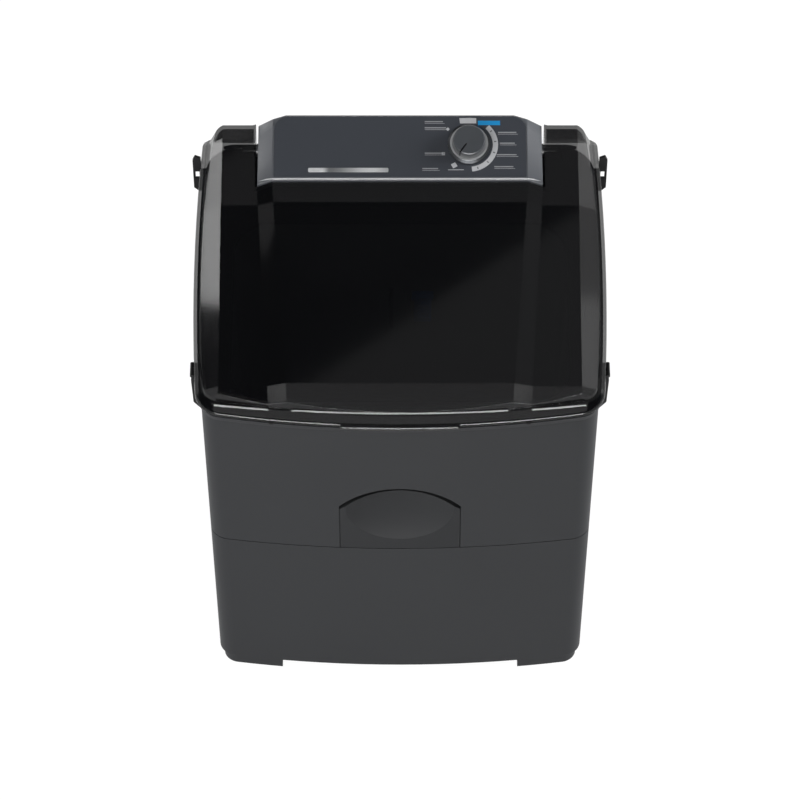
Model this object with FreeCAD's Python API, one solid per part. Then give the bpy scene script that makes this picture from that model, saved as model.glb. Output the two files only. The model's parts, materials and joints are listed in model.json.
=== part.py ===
import FreeCAD, Part
import math
import os

from FreeCAD import Placement, Rotation, Vector

# Semi-automatic washing machine, millimetres and degrees.
# +Z is up, the front faces -Y, the floor is Z = 0 and the origin lies under the middle of the box.

# Cabinet
BODY_WIDTH = 480.0        # widest place of the bowed sides, at rim height
BODY_DEPTH = 385.0        # front middle to back wall, at rim height
RIM_HEIGHT = 440.0        # floor to the front of the rim
SEAM_HEIGHT = 236.0       # joint between base and upper cabinet
FOOT_HEIGHT = 14.0        # the base's lower edge above the floor, between its feet
RIM_SLOPE = 15.5          # the rim rises towards the back
WALL_DRAFT = 0.58         # the walls lean in towards the floor
FRONT_BOW = 1400.0        # radius of the bowed front in plan
SIDE_BOW = 2740.0         # radius of the bowed sides in plan
WIDEST_AT = 230.0         # depth of the widest place behind the front
FRONT_CORNER = 28.0
REAR_CORNER = 38.0
WALL = 3.0
SHADOW_GAP = 1.2          # dark line left open at the seam and under the rim
FIT = 0.2                 # clearance of pieces that are pushed into each other
CLEAR = 0.4               # clearance of pieces that pass each other
RUN_FIT = 0.05            # radial clearance of shafts in their bearings

# Base
TONGUE_RISE = 8.0         # the base reaches up inside the upper cabinet
TONGUE_ROOT = 15.0
TONGUE_WALL = 2.2
RETURN_FLANGE = 30.0      # flange turned in under the base
FOOT_REACH = 91.0         # moulded feet, from the widest side to their inner end
FOOT_RUN = 72.0           # and from front or back
FOOT_SIDE = 5.0           # they stand this far inside the sides
FOOT_CORNER = 25.0
PAD_LENGTH = 48.0         # rubber pads let into the feet
PAD_BREADTH = 38.0
PAD_INSET_X = 34.0        # from the widest side to the pad's outer end
PAD_INSET_Y = 26.0
PAD_CORNER = 10.0
PAD_TAPER = 1.0
PAD_THICK = 5.0
PAD_PROUD = 1.2           # the pads stand out of the feet
VENT_COUNT = 9
VENT_PITCH = 14.0
VENT_WIDTH = 5.0
VENT_ROUND = 2.2
VENT_LENGTH = 46.0
VENT_HEIGHT = 150.0

# Front grip
GRIP_WIDTH = 146.0
GRIP_SPRING = 309.0       # height where the arch leaves its straight sides
GRIP_APEX = 342.0
GRIP_GAP = 0.7            # dark line between the insert and the cabinet
GRIP_LIP = 13.0           # the cup reaches this far behind the cabinet's edge
GRIP_DEPTH = 28.0
GRIP_WALL = 2.5
GRIP_EDGE_SPRING = 304.0  # the insert's upper edge: its ends
GRIP_EDGE_APEX = 328.3    # and its middle
GRIP_PLATE = 17.0         # thickness of the insert
GRIP_EDGE_BACK = 15.0     # back of its upper edge, behind the front
GRIP_HOOK_HALF = 52.0     # half width of the finger space behind that edge
DISH_WIDTH = 138.0
DISH_BOTTOM = 252.0
DISH_MIDDLE = 306.0
DISH_DEPTH = 12.0
DISH_REACH = 28.0         # middle of the dish's ellipsoid in front of the cabinet

# Sloping rim frame, heights measured square to the slope
FRAME_TOP = 7.4
FRAME_OVERHANG = 3.0
FRAME_FRONT = 1.0
COLLAR_DROP = 8.0
COLLAR_WALL = 2.5
MOUTH_HALF = 200.0        # half the width of the mouth
MOUTH_FRONT = 36.0
MOUTH_BACK = 288.0
MOUTH_CORNER = 46.0
CABLE_SLOT = 50.0
CABLE_SLOT_WIDTH = 16.0
CABLE_SLOT_ROUND = 5.0
CABLE_SLOT_FROM = 343.0   # its front, along the slope
RECESS_FRONT = 354.0      # notches that the lid's arms swing down into
RECESS_FLOOR = 0.2
RECESS_THICK = 3.0
RECESS_BACK_MARGIN = 3.0

# Lid, in the frame of the slope
LID_GAP = 1.0             # between frame and lid
LID_WALL = 3.0
LID_OVERHANG = 7.2
LID_FRONT = 0.0
LID_BACK = 2.0
LID_CORNER = 34.0
LID_REAR_CORNER = 8.0
LID_LIP = 4.0             # upright lip round the lid's edge
LID_LIP_LEAN = 0.6
LID_LIP_ROUND = 3.4
LID_LEDGE_RISE = 3.2      # ledge between the lip and the facets
LID_LEDGE_FRONT = 13.0
LID_LEDGE_SIDE = 5.0
LID_LEAN = 0.4            # above the ledge the walls move in by this share of their height
LID_WALL_REACH = 44.0
LID_RAISE = 38.7          # middle panel above the cabinet's edge
LID_STEP = 7.6            # the side panels lie lower
LID_STEP_FRONT = 1.0      # and meet the middle one in front
LID_CREASE_FRONT = 43.9
LID_CREASE_BACK = 295.0
LID_FRONT_FALL = 38.0     # slope of the front facet
LID_ARM_RISE = 6.7        # slope of the arms
LID_SIDE_FALL = 28.0      # slope of the outer facets
PANEL_HALF_FRONT = 133.0  # half width of the middle panel
PANEL_HALF_BACK = 152.7
BAND_FRONT = 22.0         # width of the bands beside it
BAND_BACK = 18.7
SIDE_HALF_FRONT = 212.0   # half width to the outer facets
SIDE_HALF_BACK = 216.0
LID_CONSOLE_GAP = 2.0     # between the lid and the console's front wall
ARM_GAP = 2.8             # between console and arms
TAB_HALF = 70.0
TAB_OUT = 6.5             # finger tab in front of the cabinet
TAB_THICK = 4.0
ARM_CREASE = 384.0        # the last strip of the arms starts here
ARM_END_RISE = 14.0       # and is steeper
BUMPER_RADIUS = 4.0
BUMPER_HEIGHT = 0.7
BUMPER_X = 150.0

# Hinge
HINGE_DEPTH = 352.0       # axis behind the front
HINGE_RISE = 131.0        # axis above the rim's front
PIN_RADIUS = 4.0
PIN_IN_CONSOLE = 12.0
PIN_IN_ARM = 16.0
COLLAR_RADIUS = 8.0
COLLAR_THICK = 2.2
BOSS_RADIUS = 8.0
BOSS_LENGTH = 22.0
TAIL_RADIUS = 31.5        # the arms' tails stay this near to the axis

# Console
CONSOLE_FRONT = 300.6     # fascia's lower edge behind the front
CONSOLE_RISE = 127.6      # fascia's lower edge above the rim's front
FASCIA_SLOPE = 28.0
FASCIA_LENGTH = 84.0
FACE_HALF = 154.5
CONSOLE_HALF = 172.5
BEVEL_DROP_FRONT = 7.0
BEVEL_DROP_BACK = 17.0
CONSOLE_WALL = 2.5
CORNER_HALF = 138.5       # half width of the rear edge between its falling corners
CORNER_LENGTH = 15.0      # the corners fall over this length of the fascia
CORNER_DROP = 6.0
FASCIA_THICK = 3.0
FASCIA_MARGIN = 1.6
FASCIA_FOOT = 4.0
FASCIA_LEDGE = 7.0
FASCIA_ROUND = 17.0
TRIM_WIDTH = 2.5
TRIM_FROM_EDGE = 0.6
TRIM_PROUD = 0.6
TRIM_DEPTH = 1.2
BAR_LEFT = -111.0
BAR_LENGTH = 97.0
BAR_WIDTH = 5.5
BAR_ROUND = 1.4
BAR_UP = 12.8
BAR_PROUD = 0.5
BAR_SINK = 0.6

# Timer and knob, square to the fascia
KNOB_X = 83.6
KNOB_UP = 46.0
KNOB_RADIUS = 20.5
KNOB_HEIGHT = 16.0
KNOB_DISH = 1.2
SKIRT_RADIUS = 26.0
SKIRT_TOP_RADIUS = 23.0
SKIRT_HEIGHT = 5.0
SKIRT_EDGE = 1.7          # upright edge below its cone
KNOB_GAP = 0.6            # between fascia and knob skirt
POINTER_WIDTH = 2.0
POINTER_DEPTH = 0.8
POINTER_START = 6.0       # from the knob's axis
POINTER_ANGLE = 235.0     # rest mark, from the fascia's right-hand direction
TIMER_SHAFT_RADIUS = 3.0
TIMER_SHAFT_GRIP = 10.0
TIMER_WIDTH = 40.0
TIMER_LENGTH = 36.0
TIMER_DEPTH = 22.0
TIMER_PLATE = 2.0
TIMER_PLATE_WIDTH = 58.0
TIMER_PLATE_BREADTH = 18.0
TIMER_ROUND = 5.0

# Wash tub
TUB_HALF = 206.0          # half the inner width at rim height
TUB_FRONT = 30.0
TUB_BACK = 283.0
TUB_DRAFT = 3.2
TUB_CORNER = 50.0
TUB_FLOOR = 150.0
TUB_WALL = 2.5
TUB_ROUND = 24.0
TUB_FLANGE = 16.0         # flange in front of and behind the mouth
TUB_FLANGE_GAP = 24.0     # flange's side edges inside the cabinet's width
WELL_RADIUS = 100.0
WELL_DEPTH = 8.0
DRAIN_FROM_SIDE = 66.0    # drain hole from the tub's side at rim height
DRAIN_BACK = 215.0        # drain hole behind the front
DRAIN_RADIUS = 15.0
DRAIN_HEIGHT = 95.0       # axis of the drain pipe
PIPE_RADIUS = 13.0
PIPE_BORE = 10.0
PIPE_BEND = 28.0
SPIGOT_RADIUS = 11.0
SPIGOT_LENGTH = 16.0
SPIGOT_OUT = 20.0         # spigot's end behind the back wall
PIPE_FLANGE = 24.0
PIPE_FLANGE_THICK = 3.0
GRILLE_RADIUS = 20.0
GRILLE_THICK = 2.0
GRILLE_SLOTS = 5
GRILLE_PITCH = 5.5
GRILLE_SLOT_WIDTH = 2.6
GRILLE_SLOT_MARGIN = 0.8

# Lint filter and circulation channel on the tub's back wall
SLOT_X = -11.0
SLOT_WIDTH = 5.0
SLOT_BOTTOM = 341.0
SLOT_TOP = 407.0
INLET_BOTTOM = 182.0
INLET_TOP = 206.0
CHANNEL_WIDTH = 40.0
CHANNEL_DEPTH = 13.0
CHANNEL_WALL = 2.0
CHANNEL_MARGIN = 12.0
FILTER_X = 28.0
FILTER_WIDTH = 27.0
FILTER_BOTTOM = 362.0
FILTER_HEIGHT = 46.0
FILTER_THICK = 7.0
FILTER_WINDOWS = 4
FILTER_WINDOW_HEIGHT = 5.5
GUIDE_WALL = 2.0
GUIDE_HOOK = 3.0
GUIDE_HEIGHT = 37.0

# Pulsator and its shaft
PULSATOR_RADIUS = 95.0
PULSATOR_GAP = 3.0        # above the well's floor
PULSATOR_RIM = 9.0
PULSATOR_HUB = 24.0
PULSATOR_HUB_TOP = 34.0
PULSATOR_FOOT = 48.0      # radius where the hub starts to rise
PULSATOR_WAIST = 28.8
PULSATOR_WAIST_TOP = 20.4
PULSATOR_CROWN = 19.2
PULSATOR_CROWN_TOP = 32.0
PULSATOR_SKIN = 4.0
VANE_COUNT = 3
VANE_WIDTH = 18.0
VANE_BOW = 20.0
VANE_TIP = 4.5
VANE_TOP_INNER = 32.0
VANE_TOP_OUTER = 15.0
CAP_RADIUS = 13.0
CAP_HEIGHT = 5.0
CAP_RIM = 2.0
CAP_TOP_RADIUS = 9.0
SHAFT_RADIUS = 6.0
SHAFT_BOTTOM = 44.0
SHAFT_SOCKET = 22.0       # reach into the pulsator
HOUSING_FLANGE = 45.0
HOUSING_FLANGE_THICK = 5.0
HOUSING_RADIUS = 17.0
HOUSING_BORE = 10.0
HOUSING_BOTTOM = 74.0
HOUSING_RIBS = 6
HOUSING_RIB_THICK = 3.0
BUSH_LENGTH = 15.0
SEAL_THICK = 6.0
SEAL_LIP_RISE = 3.6
SEAL_RADIUS = 13.0

# Belt drive
BELT_HEIGHT = 56.0        # middle of the belt above the floor
DRIVEN_RADIUS = 80.0
DRIVER_RADIUS = 19.0
PULLEY_WIDTH = 15.0
GROOVE_DEPTH = 9.0
GROOVE_TOP = 10.5
GROOVE_BOTTOM = 5.6
DRIVEN_WEB = 4.0
DRIVEN_HUB = 15.0
DRIVEN_HOLES = 5
DRIVEN_HOLE_RADIUS = 16.0
BELT_TOP = 8.6
BELT_BOTTOM = 5.4
BELT_THICK = 6.0
BELT_SINK = 0.8           # the belt's back lies this far inside the pulley's edge
MOTOR_BEHIND = 150.0      # motor axis behind the pulsator axis
MOTOR_RADIUS = 52.0
MOTOR_BOTTOM = 78.0
MOTOR_TOP = 122.0
MOTOR_BELL = 6.0
MOTOR_NECK = 16.0
MOTOR_SLOTS = 12
MOTOR_SLOT_WIDTH = 6.0
MOTOR_SLOT_DEPTH = 4.0
MOTOR_SLOT_HEIGHT = 22.0
MOTOR_SHAFT_RADIUS = 5.0
MOTOR_LUG_RADIUS = 9.0
MOTOR_LUG_AT = 58.0
MOTOR_LUG_THICK = 6.0
MOUNT_RADIUS = 8.0
MOUNT_WAIST = 6.0
MOUNT_NUMBERS = (1, 2, 3, 4)
PLATE_HEIGHT = 132.0      # underside of the drive plate
PLATE_THICK = 3.0
PLATE_HALF = 112.0
PLATE_FRONT = 204.0
PLATE_BACK = 366.0
PLATE_LIP = 10.0
PLATE_CORNER = 14.0
BOSS_X = 96.0
BOSS_BEHIND = (226.0, 250.0)
TUB_BOSS_RADIUS = 9.0
FAN_RADIUS = 34.0
FAN_HUB = 10.0
FAN_BLADES = 6
FAN_BLADE_WIDTH = 2.0
FAN_BOTTOM = 66.0
FAN_HEIGHT = 9.0
FAN_DISC = 2.0
CAPACITOR_X = 86.0
CAPACITOR_BEHIND = 330.0
CAPACITOR_RADIUS = 18.0
CAPACITOR_LENGTH = 58.0
CLIP_THICK = 1.5
CLIP_HEIGHT = 12.0

# Side ears, side clips and cord gland
LUG_BEHIND = 356.0
LUG_THICK = 4.0
LUG_OUT = 254.0           # half width over the ears
LUG_LOW = 62.0            # above the rim's front
LUG_HIGH = 117.0
LUG_CLEAR = 4.0           # the upper end stands this far outside the cabinet's width
LUG_ROOT = 24.0           # reach inside the cabinet's width before it is cut to the wall
LUG_BEVEL = 6.0
LUG_HOLE_EDGE = 5.2       # middle of the hole from the outer edge
LUG_HOLE_RISE = 88.0
LUG_HOLE_WIDTH = 5.0
LUG_HOLE_LENGTH = 11.0
CLIP_FROM = 72.0
CLIP_BREADTH = 18.0
CLIP_OUT = 246.5
CLIP_TOP = -1.0
CLIP_BOTTOM = -75.0
CLIP_BEVEL = 10.0
CLIP_TAPER = 19.0         # the lower end is bevelled over this height
CLIP_EDGE = 3.3
BEAD_RADIUS = 2.7
BEAD_X = 244.6
BEAD_UP = 5.0
NECK_THICK = 2.0
CLIP_WEB = 240.2
LID_SWEEP = 0.8           # the clips stay this far outside the lid
GLAND_X = -140.0
GLAND_HEIGHT = 112.0
GLAND_RADIUS = 9.0
GLAND_FLANGE = 12.5
GLAND_FLANGE_THICK = 3.0
GLAND_BORE = 4.0

# Places that follow from the sizes above
FRONT_Y = (TAB_OUT - BODY_DEPTH - SPIGOT_OUT) / 2
BACK_Y = FRONT_Y + BODY_DEPTH
STRETCH = 1 / math.cos(math.radians(RIM_SLOPE))
SLOPE = Placement(Vector(0, FRONT_Y, RIM_HEIGHT), Rotation(Vector(1, 0, 0), RIM_SLOPE))
FASCIA = Placement(
    Vector(0, FRONT_Y + CONSOLE_FRONT, RIM_HEIGHT + CONSOLE_RISE),
    Rotation(Vector(1, 0, 0), FASCIA_SLOPE),
)
LID_BOTTOM = FRAME_TOP + LID_GAP
HINGE = Vector(0, FRONT_Y + HINGE_DEPTH, RIM_HEIGHT + HINGE_RISE)
HINGE_ON_SLOPE = SLOPE.inverse().multVec(HINGE)
ARM_INNER = CONSOLE_HALF + ARM_GAP
DRAIN_X = TUB_HALF - DRAIN_FROM_SIDE
DRUM_Y = FRONT_Y + (TUB_FRONT + TUB_BACK) / 2
MOTOR_Y = DRUM_Y + MOTOR_BEHIND
WELL_FLOOR = TUB_FLOOR - WELL_DEPTH
WELL_UNDER = WELL_FLOOR - TUB_WALL
TUB_UNDER = TUB_FLOOR - TUB_WALL
FAR = 900.0               # larger than the whole machine
UP = Vector(0, 0, 1)


def tangent(angle):
    return math.tan(math.radians(angle))


def mirrored(point):
    return Vector(-point.x, point.y, point.z)


def toward(centre, point, distance):
    return centre + (point - centre) * (distance / (point - centre).Length)


def arc(start, middle, end):
    return Part.Arc(start, middle, end).toShape()


def line(start, end):
    return Part.LineSegment(start, end).toShape()


def polygon(points):
    return Part.makePolygon(points + points[:1])


def extruded(points, direction):
    return Part.Face(polygon(points)).extrude(direction)


def revolved(profile, centre):
    """Turn a closed (radius, height) profile about the upright axis through centre."""
    face = Part.Face(polygon([Vector(r, 0, z) for r, z in profile]))
    solid = face.revolve(Vector(0, 0, 0), UP, 360)
    solid.translate(centre)
    return solid


def cylinder(radius, bottom, top, x, y):
    return Part.makeCylinder(radius, top - bottom, Vector(x, y, bottom))


def cross_cylinder(radius, x0, x1, y, z):
    return Part.makeCylinder(radius, x1 - x0, Vector(x0, y, z), Vector(1, 0, 0))


def box(x0, x1, y0, y1, z0, z1):
    return Part.makeBox(x1 - x0, y1 - y0, z1 - z0, Vector(x0, y0, z0))


def round_box(x0, x1, y0, y1, z0, z1, radius):
    return Part.Face(round_wire(x0, x1, y0, y1, z0, radius)).extrude(UP * (z1 - z0))


def round_wire(x0, x1, y0, y1, z, radius):
    """Rectangle with round corners at height z."""
    corner = radius * (1 - math.sqrt(0.5))
    right_front = [Vector(x1 - radius, y0, z), Vector(x1 - corner, y0 + corner, z), Vector(x1, y0 + radius, z)]
    right_back = [Vector(x1, y1 - radius, z), Vector(x1 - corner, y1 - corner, z), Vector(x1 - radius, y1, z)]
    left_back = [Vector(x0 + radius, y1, z), Vector(x0 + corner, y1 - corner, z), Vector(x0, y1 - radius, z)]
    left_front = [Vector(x0, y0 + radius, z), Vector(x0 + corner, y0 + corner, z), Vector(x0 + radius, y0, z)]
    corners = [right_front, right_back, left_back, left_front]
    edges = []
    for number, points in enumerate(corners):
        edges.append(arc(*points))
        edges.append(line(points[2], corners[(number + 1) % 4][0]))
    return Part.Wire(edges)


def around(shape, count, x, y):
    """The shape repeated evenly about an upright axis."""
    copies = []
    for number in range(count):
        turned = shape.copy()
        turned.rotate(Vector(x, y, 0), UP, 360 * number / count)
        copies.append(turned)
    return copies


def mirror_pair(shape):
    return shape.fuse(shape.mirror(Vector(0, 0, 0), Vector(1, 0, 0)))


def placed(shape, placement):
    shape.Placement = placement.multiply(shape.Placement)
    return shape


def circles_meet(centre_a, radius_a, centre_b, radius_b):
    """The meeting point of two circles in plan that lies further to the front."""
    gap = centre_b - centre_a
    along = (radius_a ** 2 - radius_b ** 2 + gap.Length ** 2) / (2 * gap.Length)
    aside = math.sqrt(radius_a ** 2 - along ** 2)
    foot = toward(centre_a, centre_b, along)
    sideways = Vector(gap.y, -gap.x, 0) * (aside / gap.Length)
    return min(foot + sideways, foot - sideways, key=lambda point: point.y)


def outline(z, side, front, back, corner=FRONT_CORNER, stretch=1.0, rear=None):
    """Plan outline of the cabinet, front middle at y = 0, moved out by side, front and back."""
    bow = Vector(0, FRONT_BOW, 0)
    bow_radius = FRONT_BOW + front
    flank = Vector(BODY_WIDTH / 2 - SIDE_BOW, WIDEST_AT * stretch, 0)
    flank_radius = SIDE_BOW + side
    near_radius = corner + min(side, front)
    far_radius = REAR_CORNER + min(side, back) if rear is None else rear
    back_y = BODY_DEPTH * stretch + back
    near = circles_meet(bow, bow_radius - near_radius, flank, flank_radius - near_radius)
    behind = back_y - far_radius - flank.y
    far = Vector(flank.x + math.sqrt((flank_radius - far_radius) ** 2 - behind ** 2), back_y - far_radius, 0)
    front_end = toward(bow, near, bow_radius)
    side_start = toward(flank, near, flank_radius)
    side_end = toward(flank, far, flank_radius)
    back_start = Vector(far.x, back_y, 0)
    near_mid = toward(near, (front_end + side_start) * 0.5, near_radius)
    far_mid = toward(far, (side_end + back_start) * 0.5, far_radius)
    side_mid = Vector(flank.x + flank_radius, flank.y, 0)
    right = [
        (front_end, near_mid, side_start),
        (side_start, side_mid, side_end),
        (side_end, far_mid, back_start),
    ]
    edges = [arc(mirrored(front_end), Vector(0, -front, 0), front_end)]
    edges += [arc(*points) for points in right]
    edges.append(line(back_start, mirrored(back_start)))
    edges += [arc(mirrored(c), mirrored(b), mirrored(a)) for a, b, c in reversed(right)]
    wire = Part.Wire(edges)
    wire.translate(Vector(0, 0, z))
    return wire


def cabinet(z0, z1, inset=0.0):
    """Drafted block with the cabinet's outline, inset all round."""
    wires = []
    for z in (z0, z1):
        grow = (z - RIM_HEIGHT) * tangent(WALL_DRAFT) - inset
        wires.append(outline(z, grow, grow, grow))
    solid = Part.makeLoft(wires, True, True)
    solid.translate(Vector(0, FRONT_Y, 0))
    return solid


def back_wall(z):
    return BACK_Y + (z - RIM_HEIGHT) * tangent(WALL_DRAFT)


def on_slope(shape):
    return placed(shape, SLOPE)


def off_slope(shape):
    return placed(shape, SLOPE.inverse())


def slope_slab(low, high):
    return on_slope(box(-FAR, FAR, -FAR, FAR, low, high))


def rim_plate(low, high, side, front, back):
    """Plate between two heights above the slope, with the cabinet's outline."""
    wire = outline(low, side, front, back, stretch=STRETCH)
    return on_slope(Part.Face(wire).extrude(UP * (high - low)))


def bottom_edges(solid):
    low = solid.BoundBox.ZMin
    return [edge for edge in solid.Edges if edge.BoundBox.ZMax < low + CLEAR]


def cabinet_top():
    return RIM_HEIGHT + BODY_DEPTH * tangent(RIM_SLOPE) + COLLAR_DROP


def upper_cabinet():
    top = cabinet_top()
    shell = cabinet(SEAM_HEIGHT, top).cut(cabinet(SEAM_HEIGHT - WALL, top + WALL, WALL))
    shell = shell.common(slope_slab(-FAR, 0))
    return shell.cut(grip_arch(0, FRONT_Y - WALL, FRONT_Y + GRIP_DEPTH))


def base_skirt():
    top = SEAM_HEIGHT - SHADOW_GAP
    inner = cabinet(FOOT_HEIGHT + WALL, top + WALL, WALL)
    skirt = cabinet(FOOT_HEIGHT, top).cut(inner).fuse(seam_tongue())
    for window in base_windows():
        skirt = skirt.cut(window)
    return skirt.fuse(moulded_feet()).removeSplitter()


def moulded_feet():
    """Corners of the base that reach down to the pads, flush with its front and back."""
    wires = []
    for z in (PAD_PROUD, FOOT_HEIGHT + WALL):
        grow = (z - RIM_HEIGHT) * tangent(WALL_DRAFT)
        wires.append(outline(z, grow - FOOT_SIDE, grow, grow, FOOT_CORNER + FOOT_SIDE))
    block = Part.makeLoft(wires, True, True)
    block.translate(Vector(0, FRONT_Y, 0))
    inner = BODY_WIDTH / 2 - FOOT_REACH
    between = box(-inner, inner, FRONT_Y - WALL, BACK_Y + WALL, 0, FAR)
    beside = box(-BODY_WIDTH, BODY_WIDTH, FRONT_Y + FOOT_RUN, BACK_Y - FOOT_RUN, 0, FAR)
    block = block.cut(between).cut(beside).common(cabinet(0, FOOT_HEIGHT + WALL))
    for side in (-1, 1):
        for end in (-1, 1):
            block = block.cut(pad_block(side, end, FIT, 0))
    return block


def seam_tongue():
    """Rib inside the seam that the upper cabinet slips over."""
    top = SEAM_HEIGHT - SHADOW_GAP
    inset = WALL + FIT
    inside = cabinet(top - TONGUE_ROOT - WALL, SEAM_HEIGHT + TONGUE_RISE + WALL, inset + TONGUE_WALL)
    root = cabinet(top - TONGUE_ROOT, top, WALL / 2)
    rib = cabinet(top, SEAM_HEIGHT + TONGUE_RISE, inset)
    half = GRIP_WIDTH / 2 + GRIP_LIP + CLEAR
    notch = box(-half, half, FRONT_Y - WALL, FRONT_Y + GRIP_DEPTH + CLEAR, top, SEAM_HEIGHT + FAR)
    return root.fuse(rib).cut(inside).cut(notch)


def base_windows():
    """Open underside with solid corners, the back vents and the holes for pipe and gland."""
    half = BODY_WIDTH / 2
    low = FOOT_HEIGHT - WALL
    high = FOOT_HEIGHT + 2 * WALL
    pad_x = half - FOOT_REACH
    pad_y = FOOT_RUN
    front = FRONT_Y + RETURN_FLANGE
    back = BACK_Y - RETURN_FLANGE
    across = box(RETURN_FLANGE - half, half - RETURN_FLANGE, FRONT_Y + pad_y, BACK_Y - pad_y, low, high)
    along = box(-pad_x, pad_x, front, back, low, high)
    behind = BACK_Y - RETURN_FLANGE
    pipe = Part.makeCylinder(PIPE_RADIUS + FIT, FAR, Vector(DRAIN_X, behind, DRAIN_HEIGHT), Vector(0, 1, 0))
    gland = Part.makeCylinder(GLAND_RADIUS + FIT, FAR, Vector(GLAND_X, behind, GLAND_HEIGHT), Vector(0, 1, 0))
    return [across.fuse(along), pipe, gland] + [vent(number) for number in range(VENT_COUNT)]


def vent(number):
    x = (number - (VENT_COUNT - 1) / 2) * VENT_PITCH
    half = VENT_WIDTH / 2
    top = VENT_HEIGHT + VENT_LENGTH
    slot = box(x - half, x + half, BACK_Y - RETURN_FLANGE, BACK_Y + WALL, VENT_HEIGHT, top)
    upright = [edge for edge in slot.Edges if edge.BoundBox.YLength > WALL]
    return slot.makeFillet(VENT_ROUND, upright)


def pad_block(side, end, grow, low):
    """Upright block with the outline of one rubber pad."""
    outer = BODY_WIDTH / 2 - PAD_INSET_X
    x0, x1 = sorted((side * outer, side * (outer - PAD_LENGTH)))
    near = FRONT_Y + PAD_INSET_Y
    far = back_wall(FOOT_HEIGHT) - PAD_INSET_Y
    y0 = near if end < 0 else far - PAD_BREADTH
    y1 = y0 + PAD_BREADTH
    return round_box(x0 - grow, x1 + grow, y0 - grow, y1 + grow, low, PAD_THICK + grow, PAD_CORNER + grow)


def foot(side, end):
    """Rubber pad under a corner of the base, with a bevelled sole."""
    pad = pad_block(side, end, 0, 0)
    return pad.makeChamfer(PAD_TAPER, bottom_edges(pad))


def grip_arch(grow, y0, y1):
    """Block with the outline of the front grip, grown on its sides and top."""
    half = GRIP_WIDTH / 2 + grow
    bottom = SEAM_HEIGHT - max(-grow, 0) - (WALL if grow == 0 else 0)
    left = Vector(-half, y0, GRIP_SPRING)
    right = Vector(half, y0, GRIP_SPRING)
    edges = [arc(left, Vector(0, y0, GRIP_APEX + grow), right)]
    edges.append(line(right, Vector(half, y0, bottom)))
    edges.append(line(Vector(half, y0, bottom), Vector(-half, y0, bottom)))
    edges.append(line(Vector(-half, y0, bottom), left))
    return Part.Face(Part.Wire(edges)).extrude(Vector(0, y1 - y0, 0))


def grip_dish():
    """Shallow hollow, part of an ellipsoid, that meets the cabinet's front at a flat angle."""
    deep = DISH_DEPTH + DISH_REACH
    share = math.sqrt(1 - (DISH_REACH / deep) ** 2)
    stretch = FreeCAD.Matrix()
    stretch.scale(DISH_WIDTH / 2 / share, deep, (DISH_MIDDLE - DISH_BOTTOM) / share)
    dish = Part.makeSphere(1).transformGeometry(stretch)
    front = FRONT_Y + (RIM_HEIGHT - DISH_MIDDLE) * tangent(WALL_DRAFT)
    dish.translate(Vector(0, front - DISH_REACH, DISH_MIDDLE))
    return dish


def finger_space():
    """Hollow over the insert's upper edge, up behind the cabinet's edge and down behind the insert's."""
    front = FRONT_Y - WALL
    back = FRONT_Y + GRIP_DEPTH - GRIP_WALL
    half = GRIP_WIDTH / 2
    left = Vector(-half, front, GRIP_EDGE_SPRING)
    right = Vector(half, front, GRIP_EDGE_SPRING)
    high = Vector(0, 0, GRIP_APEX)
    edges = [arc(left, Vector(0, front, GRIP_EDGE_APEX), right)]
    edges += [line(right, right + high), line(right + high, left + high), line(left + high, left)]
    above = Part.Face(Part.Wire(edges)).extrude(Vector(0, back - front, 0))
    hook = box(-GRIP_HOOK_HALF, GRIP_HOOK_HALF, FRONT_Y + GRIP_EDGE_BACK, back, GRIP_EDGE_SPRING, GRIP_APEX)
    return above.fuse(hook).common(grip_arch(GRIP_LIP - GRIP_WALL, front, back))


def grip_cup():
    """Arched front insert with a shallow dish, an upper edge to grip and a cup behind it."""
    top = GRIP_APEX + GRIP_LIP + WALL
    back = FRONT_Y + GRIP_DEPTH
    skin = cabinet(SEAM_HEIGHT, top).common(grip_arch(-GRIP_GAP, FRONT_Y - WALL, back))
    shell = cabinet(SEAM_HEIGHT, top, WALL + FIT).common(grip_arch(GRIP_LIP, FRONT_Y - WALL, back))
    half = GRIP_WIDTH / 2
    low = SEAM_HEIGHT + GRIP_WALL
    behind = box(-half, half, FRONT_Y + GRIP_PLATE, back + WALL, low, GRIP_EDGE_SPRING - GRIP_WALL)
    cup = skin.fuse(shell).cut(behind).cut(grip_dish()).cut(finger_space())
    return cup.removeSplitter()


def top_frame():
    """Sloping rim frame with its collar in the cabinet, mouth and pockets for the lid's arms."""
    flange = rim_plate(SHADOW_GAP, FRAME_TOP, FRAME_OVERHANG, FRAME_FRONT, 0)
    seat = rim_plate(0, SHADOW_GAP, -SHADOW_GAP, -SHADOW_GAP, -SHADOW_GAP)
    low = RIM_HEIGHT - COLLAR_DROP * 2
    inset = WALL + FIT
    ring = cabinet(low, cabinet_top(), inset)
    ring = ring.cut(cabinet(low - WALL, cabinet_top() + WALL, inset + COLLAR_WALL))
    ring = ring.common(slope_slab(-COLLAR_DROP, SHADOW_GAP))
    back = BODY_DEPTH * STRETCH - RECESS_BACK_MARGIN
    floor = box(ARM_INNER, FAR, RECESS_FRONT - RECESS_THICK, back, RECESS_FLOOR - RECESS_THICK, SHADOW_GAP)
    floor = on_slope(mirror_pair(floor)).common(cabinet(low, cabinet_top(), inset))
    frame = flange.fuse(seat).fuse(ring).fuse(floor)
    for cutter in frame_cuts():
        frame = frame.cut(cutter)
    return frame.removeSplitter()


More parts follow.
